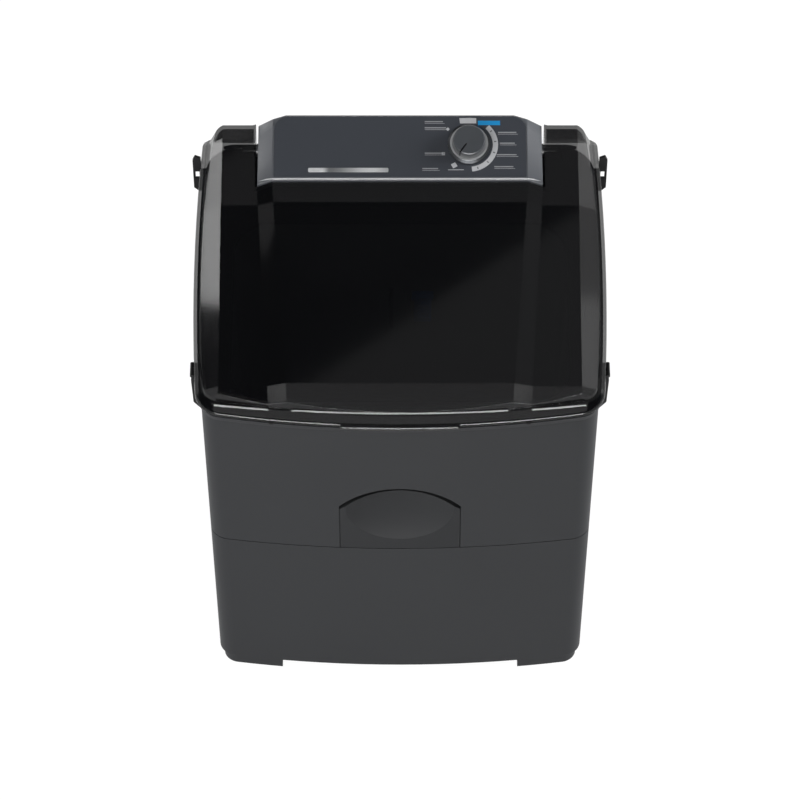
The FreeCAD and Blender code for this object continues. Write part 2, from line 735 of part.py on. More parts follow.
def frame_cuts():
    mouth = round_box(-MOUTH_HALF, MOUTH_HALF, MOUTH_FRONT, MOUTH_BACK, -FAR, FAR, MOUTH_CORNER)
    half = CABLE_SLOT / 2
    ends = (CABLE_SLOT_FROM, CABLE_SLOT_FROM + CABLE_SLOT_WIDTH)
    cable = round_box(KNOB_X - half, KNOB_X + half, *ends, -FAR, FAR, CABLE_SLOT_ROUND)
    back = BODY_DEPTH * STRETCH - RECESS_BACK_MARGIN
    pocket = box(ARM_INNER - CLEAR, FAR, RECESS_FRONT, back, RECESS_FLOOR, FAR)
    return [on_slope(mouth), on_slope(cable), on_slope(mirror_pair(pocket))]


def lid_section(at, middle, low, panel, band, side):
    """Cross-section of the lid's faceted top, square to the slope, at one place along it."""
    rim = BODY_WIDTH / 2 + LID_OVERHANG + LID_CORNER
    drop = (rim - side) * tangent(LID_SIDE_FALL)
    half = [(rim, -BODY_WIDTH), (rim, low - drop), (side, low), (panel + band, low), (panel, middle)]
    points = [Vector(x, at, z) for x, z in half]
    return polygon(points + [mirrored(point) for point in reversed(points)])


def lid_roof(lower):
    """Block under the lid's facets, sunk by the given amount."""
    start = -LID_CORNER / 2
    end = BODY_DEPTH * STRETCH + LID_BACK + LID_WALL
    spread = (PANEL_HALF_BACK - PANEL_HALF_FRONT) / (LID_CREASE_BACK - LID_CREASE_FRONT)
    top = LID_RAISE - lower
    fall = (LID_CREASE_FRONT - start) * tangent(LID_FRONT_FALL)
    arm = top + (ARM_CREASE - LID_CREASE_BACK) * tangent(LID_ARM_RISE)
    last = arm + (end - ARM_CREASE) * tangent(ARM_END_RISE)
    stations = [
        (start, top - fall, LID_STEP_FRONT, BAND_FRONT, SIDE_HALF_FRONT),
        (LID_CREASE_FRONT, top, LID_STEP, BAND_FRONT, SIDE_HALF_FRONT),
        (LID_CREASE_BACK, top, LID_STEP, BAND_BACK, SIDE_HALF_BACK),
        (ARM_CREASE, arm, LID_STEP, BAND_BACK, SIDE_HALF_BACK),
        (end, last, LID_STEP, BAND_BACK, SIDE_HALF_BACK),
    ]
    wires = []
    for at, middle, step, band, side in stations:
        panel = PANEL_HALF_FRONT + (at - LID_CREASE_FRONT) * spread
        wires.append(lid_section(at, middle, middle - step, panel, band, side))
    return Part.makeLoft(wires, True, True)


def lid_outline(z, side, front, inset):
    """The lid's plan outline at one height, moved in at its sides and front and then all round."""
    grow = [LID_OVERHANG - side - inset, LID_FRONT - front - inset, LID_BACK - inset]
    return outline(z, *grow, LID_CORNER, STRETCH, LID_REAR_CORNER)


def lid_rim(inset):
    """Block inside the lid's upright lip and its ledge."""
    lip = LID_BOTTOM + LID_LIP - inset
    wires = [
        lid_outline(LID_BOTTOM - inset, 0, 0, inset),
        lid_outline(lip, LID_LIP_LEAN, LID_LIP_LEAN, inset),
        lid_outline(lip + LID_LEDGE_RISE, LID_LEDGE_SIDE, LID_LEDGE_FRONT, inset),
    ]
    return Part.makeLoft(wires, True, True)


def lid_upper(inset):
    """Block inside the lid's leaning walls and under its facets."""
    lean = LID_WALL_REACH * LID_LEAN
    wires = [
        lid_outline(LID_BOTTOM - inset, LID_LEDGE_SIDE, LID_LEDGE_FRONT, inset),
        lid_outline(LID_BOTTOM + LID_WALL_REACH, LID_LEDGE_SIDE + lean, LID_LEDGE_FRONT + lean, inset),
    ]
    return lid_roof(inset).common(Part.makeLoft(wires, True, True))


def lid_block():
    """Outer form of the lid, with the edge of its lip rounded."""
    rim = lid_rim(0)
    lip = LID_BOTTOM + LID_LIP
    level = [edge for edge in rim.Edges if edge.BoundBox.ZLength < CLEAR]
    edges = [edge for edge in level if abs(edge.CenterOfMass.z - lip) < CLEAR]
    return rim.makeFillet(LID_LIP_ROUND, edges).fuse(lid_upper(0))


def lid():
    """Smoked cover: faceted top on leaning walls, cut out round the console, with arms and finger tab."""
    y, z = HINGE_ON_SLOPE.y, HINGE_ON_SLOPE.z
    front = FRONT_Y + CONSOLE_FRONT - LID_CONSOLE_GAP
    cut = off_slope(box(-ARM_INNER, ARM_INNER, front, FAR, 0, FAR))
    edge = ARM_INNER + LID_WALL
    kept = off_slope(box(-edge, edge, front - LID_WALL, FAR, 0, FAR))
    hollow = lid_rim(LID_WALL).fuse(lid_upper(LID_WALL)).cut(kept)
    cover = lid_block().cut(hollow).cut(cut)
    tail = box(-FAR, FAR, y, FAR, -FAR, FAR).cut(cross_cylinder(TAIL_RADIUS, -FAR, FAR, y, z))
    boss = cross_cylinder(BOSS_RADIUS, ARM_INNER, ARM_INNER + BOSS_LENGTH, y, z)
    bore = cross_cylinder(PIN_RADIUS + RUN_FIT, 0, ARM_INNER + PIN_IN_ARM + CLEAR, y, z)
    cover = cover.cut(tail).fuse(mirror_pair(boss)).cut(mirror_pair(bore)).fuse(finger_tab())
    return on_slope(cover.removeSplitter())


def finger_tab():
    """Flat tab at the middle of the lid's front edge, TAB_OUT in front of the cabinet."""
    top = LID_BOTTOM + TAB_THICK
    angle = math.radians(RIM_SLOPE)
    front = (TAB_OUT - top * math.sin(angle)) / math.cos(angle)
    plate = Part.Face(outline(LID_BOTTOM, 0, front, 0, LID_CORNER, STRETCH)).extrude(UP * TAB_THICK)
    return plate.common(box(-TAB_HALF, TAB_HALF, -FAR, LID_WALL - LID_FRONT, -FAR, FAR))


def lid_bumper(side):
    sag = FRONT_BOW - math.sqrt(FRONT_BOW ** 2 - BUMPER_X ** 2)
    y = sag - LID_FRONT + LID_WALL / 2
    return on_slope(cylinder(BUMPER_RADIUS, FRAME_TOP, FRAME_TOP + BUMPER_HEIGHT, side * BUMPER_X, y))


def hinge_pin(side):
    """Pin in the console's side, with a collar between console and arm."""
    face = CONSOLE_HALF
    pin = cross_cylinder(PIN_RADIUS, face - PIN_IN_CONSOLE, ARM_INNER + PIN_IN_ARM, HINGE.y, HINGE.z)
    collar = cross_cylinder(COLLAR_RADIUS, face, face + COLLAR_THICK, HINGE.y, HINGE.z)
    pin = pin.fuse(collar)
    return pin if side > 0 else pin.mirror(Vector(0, 0, 0), Vector(1, 0, 0))


def console_block(lift, inset):
    """Block under the fascia and its bevels, with its top moved by lift and its walls moved in."""
    run = FASCIA_LENGTH * math.cos(math.radians(FASCIA_SLOPE))
    rise = FASCIA_LENGTH * math.sin(math.radians(FASCIA_SLOPE))
    near_end = 1 - CORNER_LENGTH / FASCIA_LENGTH
    bevel = BEVEL_DROP_FRONT + (BEVEL_DROP_BACK - BEVEL_DROP_FRONT) * near_end
    stations = [
        (0, inset, 0, BEVEL_DROP_FRONT),
        (near_end, 0, 0, bevel),
        (1, -inset, CORNER_DROP, BEVEL_DROP_BACK),
    ]
    wires = []
    for share, away, corner, drop in stations:
        y = FRONT_Y + CONSOLE_FRONT + share * run + away
        z = RIM_HEIGHT + CONSOLE_RISE + share * rise + away * tangent(FASCIA_SLOPE) + lift
        half = [
            (CONSOLE_HALF - inset, RIM_HEIGHT),
            (CONSOLE_HALF - inset, z - drop),
            (FACE_HALF - inset, z - corner),
            (CORNER_HALF - inset, z),
        ]
        points = [Vector(x, y, height) for x, height in half]
        wires.append(polygon(points + [mirrored(point) for point in reversed(points)]))
    return Part.makeLoft(wires, True, True)


def fascia_plate(inset, low, high):
    """Plate in the frame of the fascia, with its two upper corners rounded."""
    half = FACE_HALF - FASCIA_MARGIN - inset
    y0 = FASCIA_FOOT + inset
    y1 = FASCIA_LENGTH - FASCIA_MARGIN - inset
    radius = FASCIA_ROUND - inset
    plate = box(-half, half, y0, y1, low, high)
    upright = [edge for edge in plate.Edges if edge.BoundBox.ZLength > CLEAR]
    corners = [edge for edge in upright if edge.BoundBox.YMin > y1 - CLEAR]
    return plate.makeFillet(max(radius, FASCIA_MARGIN), corners)


def trim_strip():
    """Bright strip across the console's lower edge, over the fascia and both bevels."""
    front = FRONT_Y + CONSOLE_FRONT + TRIM_FROM_EDGE
    slab = box(-FAR, FAR, front, front + TRIM_WIDTH, 0, FAR)
    return console_block(TRIM_PROUD, 0).common(slab).cut(console_block(-TRIM_DEPTH, 0))


def console_housing():
    body = console_block(0, 0)
    hollow = console_block(-CONSOLE_WALL - FASCIA_THICK, CONSOLE_WALL)
    pocket = placed(fascia_plate(-FIT, -FASCIA_THICK, FAR), FASCIA)
    window = placed(fascia_plate(FASCIA_LEDGE, -FASCIA_THICK - CONSOLE_WALL * 3, FASCIA_THICK), FASCIA)
    body = body.cut(hollow).cut(pocket).cut(window).cut(trim_strip())
    body = body.cut(cross_cylinder(PIN_RADIUS, -FAR, FAR, HINGE.y, HINGE.z))
    return body.cut(slope_slab(-FAR, FRAME_TOP))


def fascia():
    plate = fascia_plate(0, -FASCIA_THICK, 0)
    hole = cylinder(TIMER_SHAFT_RADIUS + CLEAR, -FAR, FAR, KNOB_X, KNOB_UP)
    return placed(plate.cut(hole).cut(bar_shape()), FASCIA)


def bar_shape():
    low = BAR_UP - BAR_WIDTH / 2
    bar = round_box(BAR_LEFT, BAR_LEFT + BAR_LENGTH, low, low + BAR_WIDTH, -BAR_SINK, BAR_PROUD, BAR_ROUND)
    return bar


def fascia_bar():
    return placed(bar_shape(), FASCIA)


def timer():
    """Clockwork timer behind the fascia."""
    half, tall = TIMER_WIDTH / 2, TIMER_LENGTH / 2
    plate_half, plate_tall = TIMER_PLATE_WIDTH / 2, TIMER_PLATE_BREADTH / 2
    front = -FASCIA_THICK - TIMER_PLATE
    plate = round_box(-plate_half, plate_half, -plate_tall, plate_tall, front, -FASCIA_THICK, TIMER_PLATE)
    case = round_box(-half, half, -tall, tall, front - TIMER_DEPTH, front, TIMER_ROUND)
    bore = cylinder(TIMER_SHAFT_RADIUS + RUN_FIT, front - TIMER_DEPTH / 2, FAR, 0, 0)
    body = plate.fuse(case).cut(bore)
    body.translate(Vector(KNOB_X, KNOB_UP, 0))
    return placed(body, FASCIA)


def timer_shaft():
    low = -FASCIA_THICK - TIMER_PLATE - TIMER_DEPTH / 2 + CLEAR
    return placed(cylinder(TIMER_SHAFT_RADIUS, low, TIMER_SHAFT_GRIP, KNOB_X, KNOB_UP), FASCIA)


def knob_skirt():
    """Bright conical ring round the foot of the knob."""
    top = KNOB_GAP + SKIRT_HEIGHT
    profile = [
        (KNOB_RADIUS - WALL, KNOB_GAP),
        (SKIRT_RADIUS, KNOB_GAP),
        (SKIRT_RADIUS, KNOB_GAP + SKIRT_EDGE),
        (SKIRT_TOP_RADIUS, top),
        (KNOB_RADIUS - WALL, top),
    ]
    return placed(revolved(profile, Vector(KNOB_X, KNOB_UP, 0)), FASCIA)


def knob():
    """Knob with a dished face and a pointer groove."""
    foot_radius = KNOB_RADIUS - WALL
    step = KNOB_GAP + SKIRT_HEIGHT
    top = KNOB_GAP + KNOB_HEIGHT
    profile = [
        (0, KNOB_GAP),
        (foot_radius, KNOB_GAP),
        (foot_radius, step),
        (KNOB_RADIUS, step),
        (KNOB_RADIUS - KNOB_DISH, top - KNOB_DISH),
        (KNOB_RADIUS - 2 * KNOB_DISH, top),
        (0, top - KNOB_DISH),
    ]
    body = revolved(profile, Vector(0, 0, 0))
    socket = cylinder(TIMER_SHAFT_RADIUS, 0, TIMER_SHAFT_GRIP, 0, 0)
    half = POINTER_WIDTH / 2
    groove = box(POINTER_START, KNOB_RADIUS, -half, half, top - KNOB_DISH - POINTER_DEPTH, top + KNOB_DISH)
    groove.rotate(Vector(0, 0, 0), UP, POINTER_ANGLE)
    body = body.cut(socket).cut(groove)
    body.translate(Vector(KNOB_X, KNOB_UP, 0))
    return placed(body, FASCIA)


def tub_block(bottom, top, grow):
    """Drafted block with the tub's outline, grown outwards."""
    wires = []
    for z in (bottom, top):
        out = (z - RIM_HEIGHT) * tangent(TUB_DRAFT) + grow
        half = TUB_HALF + out
        front = FRONT_Y + TUB_FRONT - out
        back = FRONT_Y + TUB_BACK + out
        wires.append(round_wire(-half, half, front, back, z, TUB_CORNER + out))
    return Part.makeLoft(wires, True, True)


def tub_back(z):
    """Inner face of the tub's back wall at height z."""
    return FRONT_Y + TUB_BACK + (z - RIM_HEIGHT) * tangent(TUB_DRAFT)


def wash_tub():
    """Moulded tub with flange, pulsator well, drain hole, slots and bosses for the drive plate."""
    top = cabinet_top()
    outer = tub_block(TUB_UNDER, top, TUB_WALL)
    outer = outer.makeFillet(TUB_ROUND, bottom_edges(outer))
    inner = tub_block(TUB_FLOOR, top + WALL, 0)
    inner = inner.makeFillet(TUB_ROUND - TUB_WALL, bottom_edges(inner))
    edge = BODY_WIDTH / 2 - TUB_FLANGE_GAP
    flange = round_box(-edge, edge, MOUTH_FRONT - TUB_FLANGE, MOUTH_BACK + TUB_FLANGE, -WALL, 0, MOUTH_CORNER)
    tub = outer.common(slope_slab(-FAR, 0)).fuse(on_slope(flange))
    tub = tub.fuse(cylinder(WELL_RADIUS + TUB_WALL, WELL_UNDER, TUB_FLOOR, 0, DRUM_Y))
    for boss in tub_bosses():
        tub = tub.fuse(boss)
    tub = tub.cut(inner).cut(cylinder(WELL_RADIUS, WELL_FLOOR, RIM_HEIGHT, 0, DRUM_Y))
    tub = tub.cut(cylinder(SEAL_RADIUS + FIT, 0, RIM_HEIGHT, 0, DRUM_Y))
    tub = tub.cut(cylinder(DRAIN_RADIUS, TUB_UNDER, RIM_HEIGHT, DRAIN_X, FRONT_Y + DRAIN_BACK))
    for bottom, height in ((SLOT_BOTTOM, SLOT_TOP), (INLET_BOTTOM, INLET_TOP)):
        tub = tub.cut(wall_slot(bottom, height))
    return tub.removeSplitter()


def wall_slot(bottom, top):
    half = SLOT_WIDTH / 2
    y = tub_back(bottom)
    return box(SLOT_X - half, SLOT_X + half, y - CHANNEL_DEPTH, y + CHANNEL_DEPTH, bottom, top)


def tub_bosses():
    low = PLATE_HEIGHT + PLATE_THICK
    return [
        cylinder(TUB_BOSS_RADIUS, low, TUB_UNDER + TUB_WALL / 2, side * BOSS_X, FRONT_Y + behind)
        for side in (-1, 1)
        for behind in BOSS_BEHIND
    ]


def circulation_channel():
    """Shallow channel on the outside of the tub's back wall, joining its two slots."""
    low, high = INLET_BOTTOM - CHANNEL_MARGIN, SLOT_TOP + CHANNEL_MARGIN
    half = CHANNEL_WIDTH / 2
    y = tub_back(low)
    hull = tub_block(TUB_UNDER, cabinet_top(), TUB_WALL + CHANNEL_DEPTH)
    hull = hull.common(box(SLOT_X - half, SLOT_X + half, y - TUB_ROUND, FAR, low, high))
    room = tub_block(TUB_UNDER, cabinet_top(), TUB_WALL + CHANNEL_DEPTH - CHANNEL_WALL)
    half -= CHANNEL_WALL
    room = room.common(
        box(SLOT_X - half, SLOT_X + half, y - TUB_ROUND, FAR, low + CHANNEL_WALL, high - CHANNEL_WALL)
    )
    return hull.cut(room).cut(tub_block(TUB_UNDER, cabinet_top(), TUB_WALL))


def filter_front():
    """The lint filter stands upright in front of the leaning back wall."""
    return tub_back(FILTER_BOTTOM - GUIDE_WALL) - GUIDE_WALL - CLEAR - FILTER_THICK


def lint_filter():
    """Cassette with a row of windows."""
    half = FILTER_WIDTH / 2
    y = filter_front()
    top = FILTER_BOTTOM + FILTER_HEIGHT
    body = box(FILTER_X - half, FILTER_X + half, y, y + FILTER_THICK, FILTER_BOTTOM, top)
    pitch = FILTER_HEIGHT / (FILTER_WINDOWS + 1)
    for number in range(FILTER_WINDOWS):
        z = FILTER_BOTTOM + pitch * (number + 1) - FILTER_WINDOW_HEIGHT / 2
        width = half - GUIDE_HOOK - CLEAR - GUIDE_WALL
        high = z + FILTER_WINDOW_HEIGHT
        window = box(FILTER_X - width, FILTER_X + width, y - WALL, y + FILTER_THICK / 2, z, high)
        body = body.cut(window)
    return body


def lint_guide():
    """Backing plate on the tub's wall with a floor and two hooked rails."""
    y = filter_front()
    half = FILTER_WIDTH / 2 + CLEAR + GUIDE_WALL
    back = y + FILTER_THICK + CLEAR
    low = FILTER_BOTTOM - CLEAR - GUIDE_WALL
    high = FILTER_BOTTOM + GUIDE_HEIGHT
    block = box(FILTER_X - half, FILTER_X + half, y - CLEAR - GUIDE_WALL, FAR, low, high)
    block = block.common(tub_block(TUB_FLOOR, cabinet_top(), 0))
    inner = half - GUIDE_WALL
    slot = box(FILTER_X - inner, FILTER_X + inner, y - CLEAR, back, low + GUIDE_WALL, high + WALL)
    inner -= GUIDE_HOOK
    mouth = box(FILTER_X - inner, FILTER_X + inner, y - WALL * 2, back, low + GUIDE_WALL, high + WALL)
    return block.cut(slot).cut(mouth)


def drain_grille():
    """Slotted strainer over the drain hole."""
    y = FRONT_Y + DRAIN_BACK
    plate = cylinder(GRILLE_RADIUS, TUB_FLOOR, TUB_FLOOR + GRILLE_THICK, DRAIN_X, y)
    plug = cylinder(DRAIN_RADIUS - FIT, TUB_UNDER, TUB_FLOOR, DRAIN_X, y)
    plug = plug.cut(cylinder(DRAIN_RADIUS - GRILLE_THICK, 0, TUB_FLOOR, DRAIN_X, y))
    body = plate.fuse(plug)
    for number in range(GRILLE_SLOTS):
        away = (number - (GRILLE_SLOTS - 1) / 2) * GRILLE_PITCH
        half = math.sqrt((DRAIN_RADIUS - GRILLE_THICK) ** 2 - away ** 2) - GRILLE_SLOT_MARGIN
        left = DRAIN_X + away - GRILLE_SLOT_WIDTH / 2
        body = body.cut(box(left, left + GRILLE_SLOT_WIDTH, y - half, y + half, TUB_FLOOR - WALL, RIM_HEIGHT))
    return body


def pipe_run(radius, start, end):
    """Round pipe from under the tub down and through one bend to the back."""
    y = FRONT_Y + DRAIN_BACK
    bend = DRAIN_HEIGHT + PIPE_BEND
    corner = PIPE_BEND * (1 - math.sqrt(0.5))
    turn = [
        Vector(DRAIN_X, y, bend),
        Vector(DRAIN_X, y + corner, DRAIN_HEIGHT + corner),
        Vector(DRAIN_X, y + PIPE_BEND, DRAIN_HEIGHT),
    ]
    path = Part.Wire([
        line(Vector(DRAIN_X, y, start), turn[0]),
        arc(*turn),
        line(turn[2], Vector(DRAIN_X, end, DRAIN_HEIGHT)),
    ])
    ring = Part.Wire(Part.makeCircle(radius, Vector(DRAIN_X, y, start), UP))
    return path.makePipeShell([ring], True, False)


def drain_elbow():
    """Drain pipe with its flange under the tub and the hose spigot behind the back wall."""
    y = FRONT_Y + DRAIN_BACK
    end = BACK_Y + SPIGOT_OUT
    body = pipe_run(PIPE_RADIUS, TUB_UNDER, end - SPIGOT_LENGTH)
    body = body.fuse(cylinder(PIPE_FLANGE, TUB_UNDER - PIPE_FLANGE_THICK, TUB_UNDER, DRAIN_X, y))
    root = Vector(DRAIN_X, end - SPIGOT_LENGTH, DRAIN_HEIGHT)
    body = body.fuse(Part.makeCylinder(SPIGOT_RADIUS, SPIGOT_LENGTH, root, Vector(0, 1, 0)))
    bore = pipe_run(PIPE_BORE, TUB_UNDER, end - SPIGOT_LENGTH)
    bore = bore.fuse(Part.makeCylinder(PIPE_BORE - WALL / 2, SPIGOT_LENGTH, root, Vector(0, 1, 0)))
    return body.cut(bore)


def pulsator():
    """Dished disc with a domed hub and bowed vanes."""
    base = WELL_FLOOR + PULSATOR_GAP
    skin = PULSATOR_SKIN
    edge = PULSATOR_RADIUS
    profile = [
        (0, 0),
        (PULSATOR_HUB, 0),
        (PULSATOR_HUB, PULSATOR_RIM - skin),
        (edge - skin, PULSATOR_RIM - skin),
        (edge - skin, 0),
        (edge, 0),
        (edge, PULSATOR_RIM - skin / 2),
        (edge - skin / 2, PULSATOR_RIM),
        (PULSATOR_FOOT, PULSATOR_RIM + skin / 2),
        (PULSATOR_WAIST, PULSATOR_WAIST_TOP),
        (PULSATOR_CROWN, PULSATOR_CROWN_TOP),
        (CAP_RADIUS, PULSATOR_HUB_TOP),
        (0, PULSATOR_HUB_TOP),
    ]
    body = revolved(profile, Vector(0, DRUM_Y, base))
    for blade in around(vane(base), VANE_COUNT, 0, DRUM_Y):
        body = body.fuse(blade)
    socket = cylinder(SHAFT_RADIUS, 0, base + SHAFT_SOCKET, 0, DRUM_Y)
    return body.cut(socket).removeSplitter()


def vane(base):
    """One vane: a bowed crescent, highest at the hub and falling towards the rim."""
    start, end = CAP_RADIUS, PULSATOR_RADIUS - PULSATOR_SKIN
    middle = (start + end) / 2
    tip = VANE_TIP
    root = VANE_WIDTH / 2
    edges = [
        arc(Vector(start, -root, 0), Vector(middle, VANE_BOW - root, 0), Vector(end, -tip, 0)),
        line(Vector(end, -tip, 0), Vector(end, tip, 0)),
        arc(Vector(end, tip, 0), Vector(middle, VANE_BOW + root, 0), Vector(start, root, 0)),
        line(Vector(start, root, 0), Vector(start, -root, 0)),
    ]
    low = PULSATOR_RIM - PULSATOR_SKIN / 2
    prism = Part.Face(Part.Wire(edges)).extrude(UP * PULSATOR_HUB_TOP)
    prism.translate(Vector(0, 0, low))
    bounds = [(0, 0), (end, 0), (end, VANE_TOP_OUTER), (PULSATOR_HUB, VANE_TOP_INNER), (0, VANE_TOP_INNER)]
    body = prism.common(revolved(bounds, Vector(0, 0, 0)))
    body.translate(Vector(0, DRUM_Y, base))
    return body


def pulsator_cap():
    """Round cap over the pulsator's screw."""
    base = WELL_FLOOR + PULSATOR_GAP + PULSATOR_HUB_TOP
    profile = [(0, 0), (CAP_RADIUS, 0), (CAP_RADIUS, CAP_RIM), (CAP_TOP_RADIUS, CAP_HEIGHT), (0, CAP_HEIGHT)]
    return revolved(profile, Vector(0, DRUM_Y, base))


def pulsator_shaft():
    top = WELL_FLOOR + PULSATOR_GAP + SHAFT_SOCKET
    return cylinder(SHAFT_RADIUS, SHAFT_BOTTOM, top, 0, DRUM_Y)


def bearing_housing():
    """Flanged tube under the well, stiffened by ribs."""
    low = HOUSING_BOTTOM
    top = WELL_UNDER
    flange = top - HOUSING_FLANGE_THICK
    profile = [
        (HOUSING_BORE, low),
        (HOUSING_RADIUS, low),
        (HOUSING_RADIUS, flange),
        (HOUSING_FLANGE, flange),
        (HOUSING_FLANGE, top),
        (SEAL_RADIUS, top),
        (SEAL_RADIUS, top - SEAL_THICK),
        (HOUSING_BORE, top - SEAL_THICK),
    ]
    body = revolved(profile, Vector(0, DRUM_Y, 0))
    inner = HOUSING_RADIUS - WALL
    rib = extruded(
        [
            Vector(inner, DRUM_Y - HOUSING_RIB_THICK / 2, flange),
            Vector(HOUSING_FLANGE - WALL, DRUM_Y - HOUSING_RIB_THICK / 2, flange),
            Vector(inner, DRUM_Y - HOUSING_RIB_THICK / 2, low + BUSH_LENGTH),
        ],
        Vector(0, HOUSING_RIB_THICK, 0),
    )
    for copy in around(rib, HOUSING_RIBS, 0, DRUM_Y):
        body = body.fuse(copy)
    return body.removeSplitter()


def sleeve(bottom):
    """Plain bearing between housing and shaft."""
    body = cylinder(HOUSING_BORE, bottom, bottom + BUSH_LENGTH, 0, DRUM_Y)
    return body.cut(cylinder(SHAFT_RADIUS + RUN_FIT, 0, RIM_HEIGHT, 0, DRUM_Y))


def shaft_seal():
    """Lip seal on top of the housing."""
    low = WELL_UNDER - SEAL_THICK
    lip = SHAFT_RADIUS + RUN_FIT
    profile = [
        (lip, low),
        (SEAL_RADIUS, low),
        (SEAL_RADIUS, WELL_FLOOR),
        (SEAL_RADIUS - WALL, WELL_FLOOR),
        (SEAL_RADIUS - WALL, low + SEAL_LIP_RISE),
        (lip + WALL / 2, low + SEAL_LIP_RISE),
        (lip, low + SEAL_THICK),
    ]
    return revolved(profile, Vector(0, DRUM_Y, 0))


def pulley(radius, hub, web, shaft, y):
    """Pulley with a V-groove, a web and a hub."""
    half = PULLEY_WIDTH / 2
    rim = radius - GROOVE_DEPTH - WALL
    profile = [
        (shaft, -half),
        (hub, -half),
        (hub, -web / 2),
        (rim, -web / 2),
        (rim, -half),
        (radius, -half),
        (radius, -GROOVE_TOP / 2),
        (radius - GROOVE_DEPTH, -GROOVE_BOTTOM / 2),
    ]
    upper = [(r, -z) for r, z in reversed(profile)]
    return revolved(profile + upper, Vector(0, y, BELT_HEIGHT))


def driven_pulley():
    body = pulley(DRIVEN_RADIUS, DRIVEN_HUB, DRIVEN_WEB, SHAFT_RADIUS, DRUM_Y)
    middle = (DRIVEN_HUB + DRIVEN_RADIUS - GROOVE_DEPTH - WALL) / 2
    hole = cylinder(DRIVEN_HOLE_RADIUS, BELT_HEIGHT - PULLEY_WIDTH, BELT_HEIGHT + PULLEY_WIDTH, middle, DRUM_Y)
    for copy in around(hole, DRIVEN_HOLES, 0, DRUM_Y):
        body = body.cut(copy)
    return body


def motor_pulley():
    """Small pulley, solid between groove and shaft."""
    half = PULLEY_WIDTH / 2
    profile = [
        (MOTOR_SHAFT_RADIUS, -half),
        (DRIVER_RADIUS, -half),
        (DRIVER_RADIUS, -GROOVE_TOP / 2),
        (DRIVER_RADIUS - GROOVE_DEPTH, -GROOVE_BOTTOM / 2),
    ]
    upper = [(r, -z) for r, z in reversed(profile)]
    return revolved(profile + upper, Vector(0, MOTOR_Y, BELT_HEIGHT))


def belt_path(sink):
    """Two straight runs and two arcs round both pulleys, sunk into their edges."""
    big, small = DRIVEN_RADIUS - sink, DRIVER_RADIUS - sink
    lean = math.asin((big - small) / MOTOR_BEHIND)
    side = Vector(math.cos(lean), math.sin(lean), 0)
    drum, motor = Vector(0, DRUM_Y, 0), Vector(0, MOTOR_Y, 0)
    near, far = drum + side * big, motor + side * small
    edges = [
        arc(mirrored(near), drum - Vector(0, big, 0), near),
        line(near, far),
        arc(far, motor + Vector(0, small, 0), mirrored(far)),
        line(mirrored(far), mirrored(near)),
    ]
    return Part.Wire(edges)


def drive_belt():
    """V-belt: two mirrored lofts from its narrow inner face to its wide back, less the room inside."""
    halves = []
    for sign in (-1, 1):
        back = belt_path(BELT_SINK)
        back.translate(UP * (BELT_HEIGHT + sign * BELT_TOP / 2))
        front = belt_path(BELT_SINK + BELT_THICK)
        front.translate(UP * (BELT_HEIGHT + sign * BELT_BOTTOM / 2))
        halves.append(Part.makeLoft([front, back], False, True))
    faces = halves[0].Faces + halves[1].Faces
    for sink, width in ((BELT_SINK, BELT_TOP), (BELT_SINK + BELT_THICK, BELT_BOTTOM)):
        wall = belt_path(sink).extrude(UP * width)
        wall.translate(UP * (BELT_HEIGHT - width / 2))
        faces += wall.Faces
    shell = Part.makeShell(faces)
    shell.sewShape()
    body = Part.makeSolid(shell)
    body.fix(FIT, FIT, FIT)
    return body


def drive_plate():
    """Pressed plate that hangs the motor from the tub, with turned-down edges."""
    front, back = FRONT_Y + PLATE_FRONT, FRONT_Y + PLATE_BACK
    top = PLATE_HEIGHT + PLATE_THICK
    low = top - PLATE_LIP
    body = round_box(-PLATE_HALF, PLATE_HALF, front, back, low, top, PLATE_CORNER)
    t = PLATE_THICK
    room = round_box(t - PLATE_HALF, PLATE_HALF - t, front + t, back - t, 0, PLATE_HEIGHT, PLATE_CORNER - t)
    return body.cut(room).cut(cylinder(MOTOR_NECK + CLEAR, 0, RIM_HEIGHT, 0, MOTOR_Y))


def motor_corner(number):
    angle = math.radians(45 + 90 * number)
    return MOTOR_LUG_AT * math.cos(angle), MOTOR_Y + MOTOR_LUG_AT * math.sin(angle)


def motor():
    """Motor case with bell ends, cooling slots and four lugs."""
    bell = MOTOR_BELL
    profile = [
        (MOTOR_SHAFT_RADIUS + RUN_FIT, MOTOR_BOTTOM - bell / 2),
        (MOTOR_NECK, MOTOR_BOTTOM - bell / 2),
        (MOTOR_NECK + bell / 2, MOTOR_BOTTOM),
        (MOTOR_RADIUS - bell, MOTOR_BOTTOM),
        (MOTOR_RADIUS, MOTOR_BOTTOM + bell),
        (MOTOR_RADIUS, MOTOR_TOP - bell),
        (MOTOR_RADIUS - bell, MOTOR_TOP),
        (MOTOR_NECK, MOTOR_TOP),
        (MOTOR_NECK, PLATE_HEIGHT - CLEAR),
        (MOTOR_SHAFT_RADIUS + RUN_FIT, PLATE_HEIGHT - CLEAR),
    ]
    body = revolved(profile, Vector(0, MOTOR_Y, 0))
    for number in range(len(MOUNT_NUMBERS)):
        x, y = motor_corner(number)
        body = body.fuse(cylinder(MOTOR_LUG_RADIUS, MOTOR_TOP - MOTOR_LUG_THICK, MOTOR_TOP, x, y))
    middle = (MOTOR_BOTTOM + MOTOR_TOP) / 2
    half = MOTOR_SLOT_HEIGHT / 2
    inner = MOTOR_RADIUS - MOTOR_SLOT_DEPTH
    width = MOTOR_SLOT_WIDTH / 2
    slot = box(inner, MOTOR_RADIUS + WALL, MOTOR_Y - width, MOTOR_Y + width, middle - half, middle + half)
    for copy in around(slot, MOTOR_SLOTS, 0, MOTOR_Y):
        body = body.cut(copy)
    return body.removeSplitter()


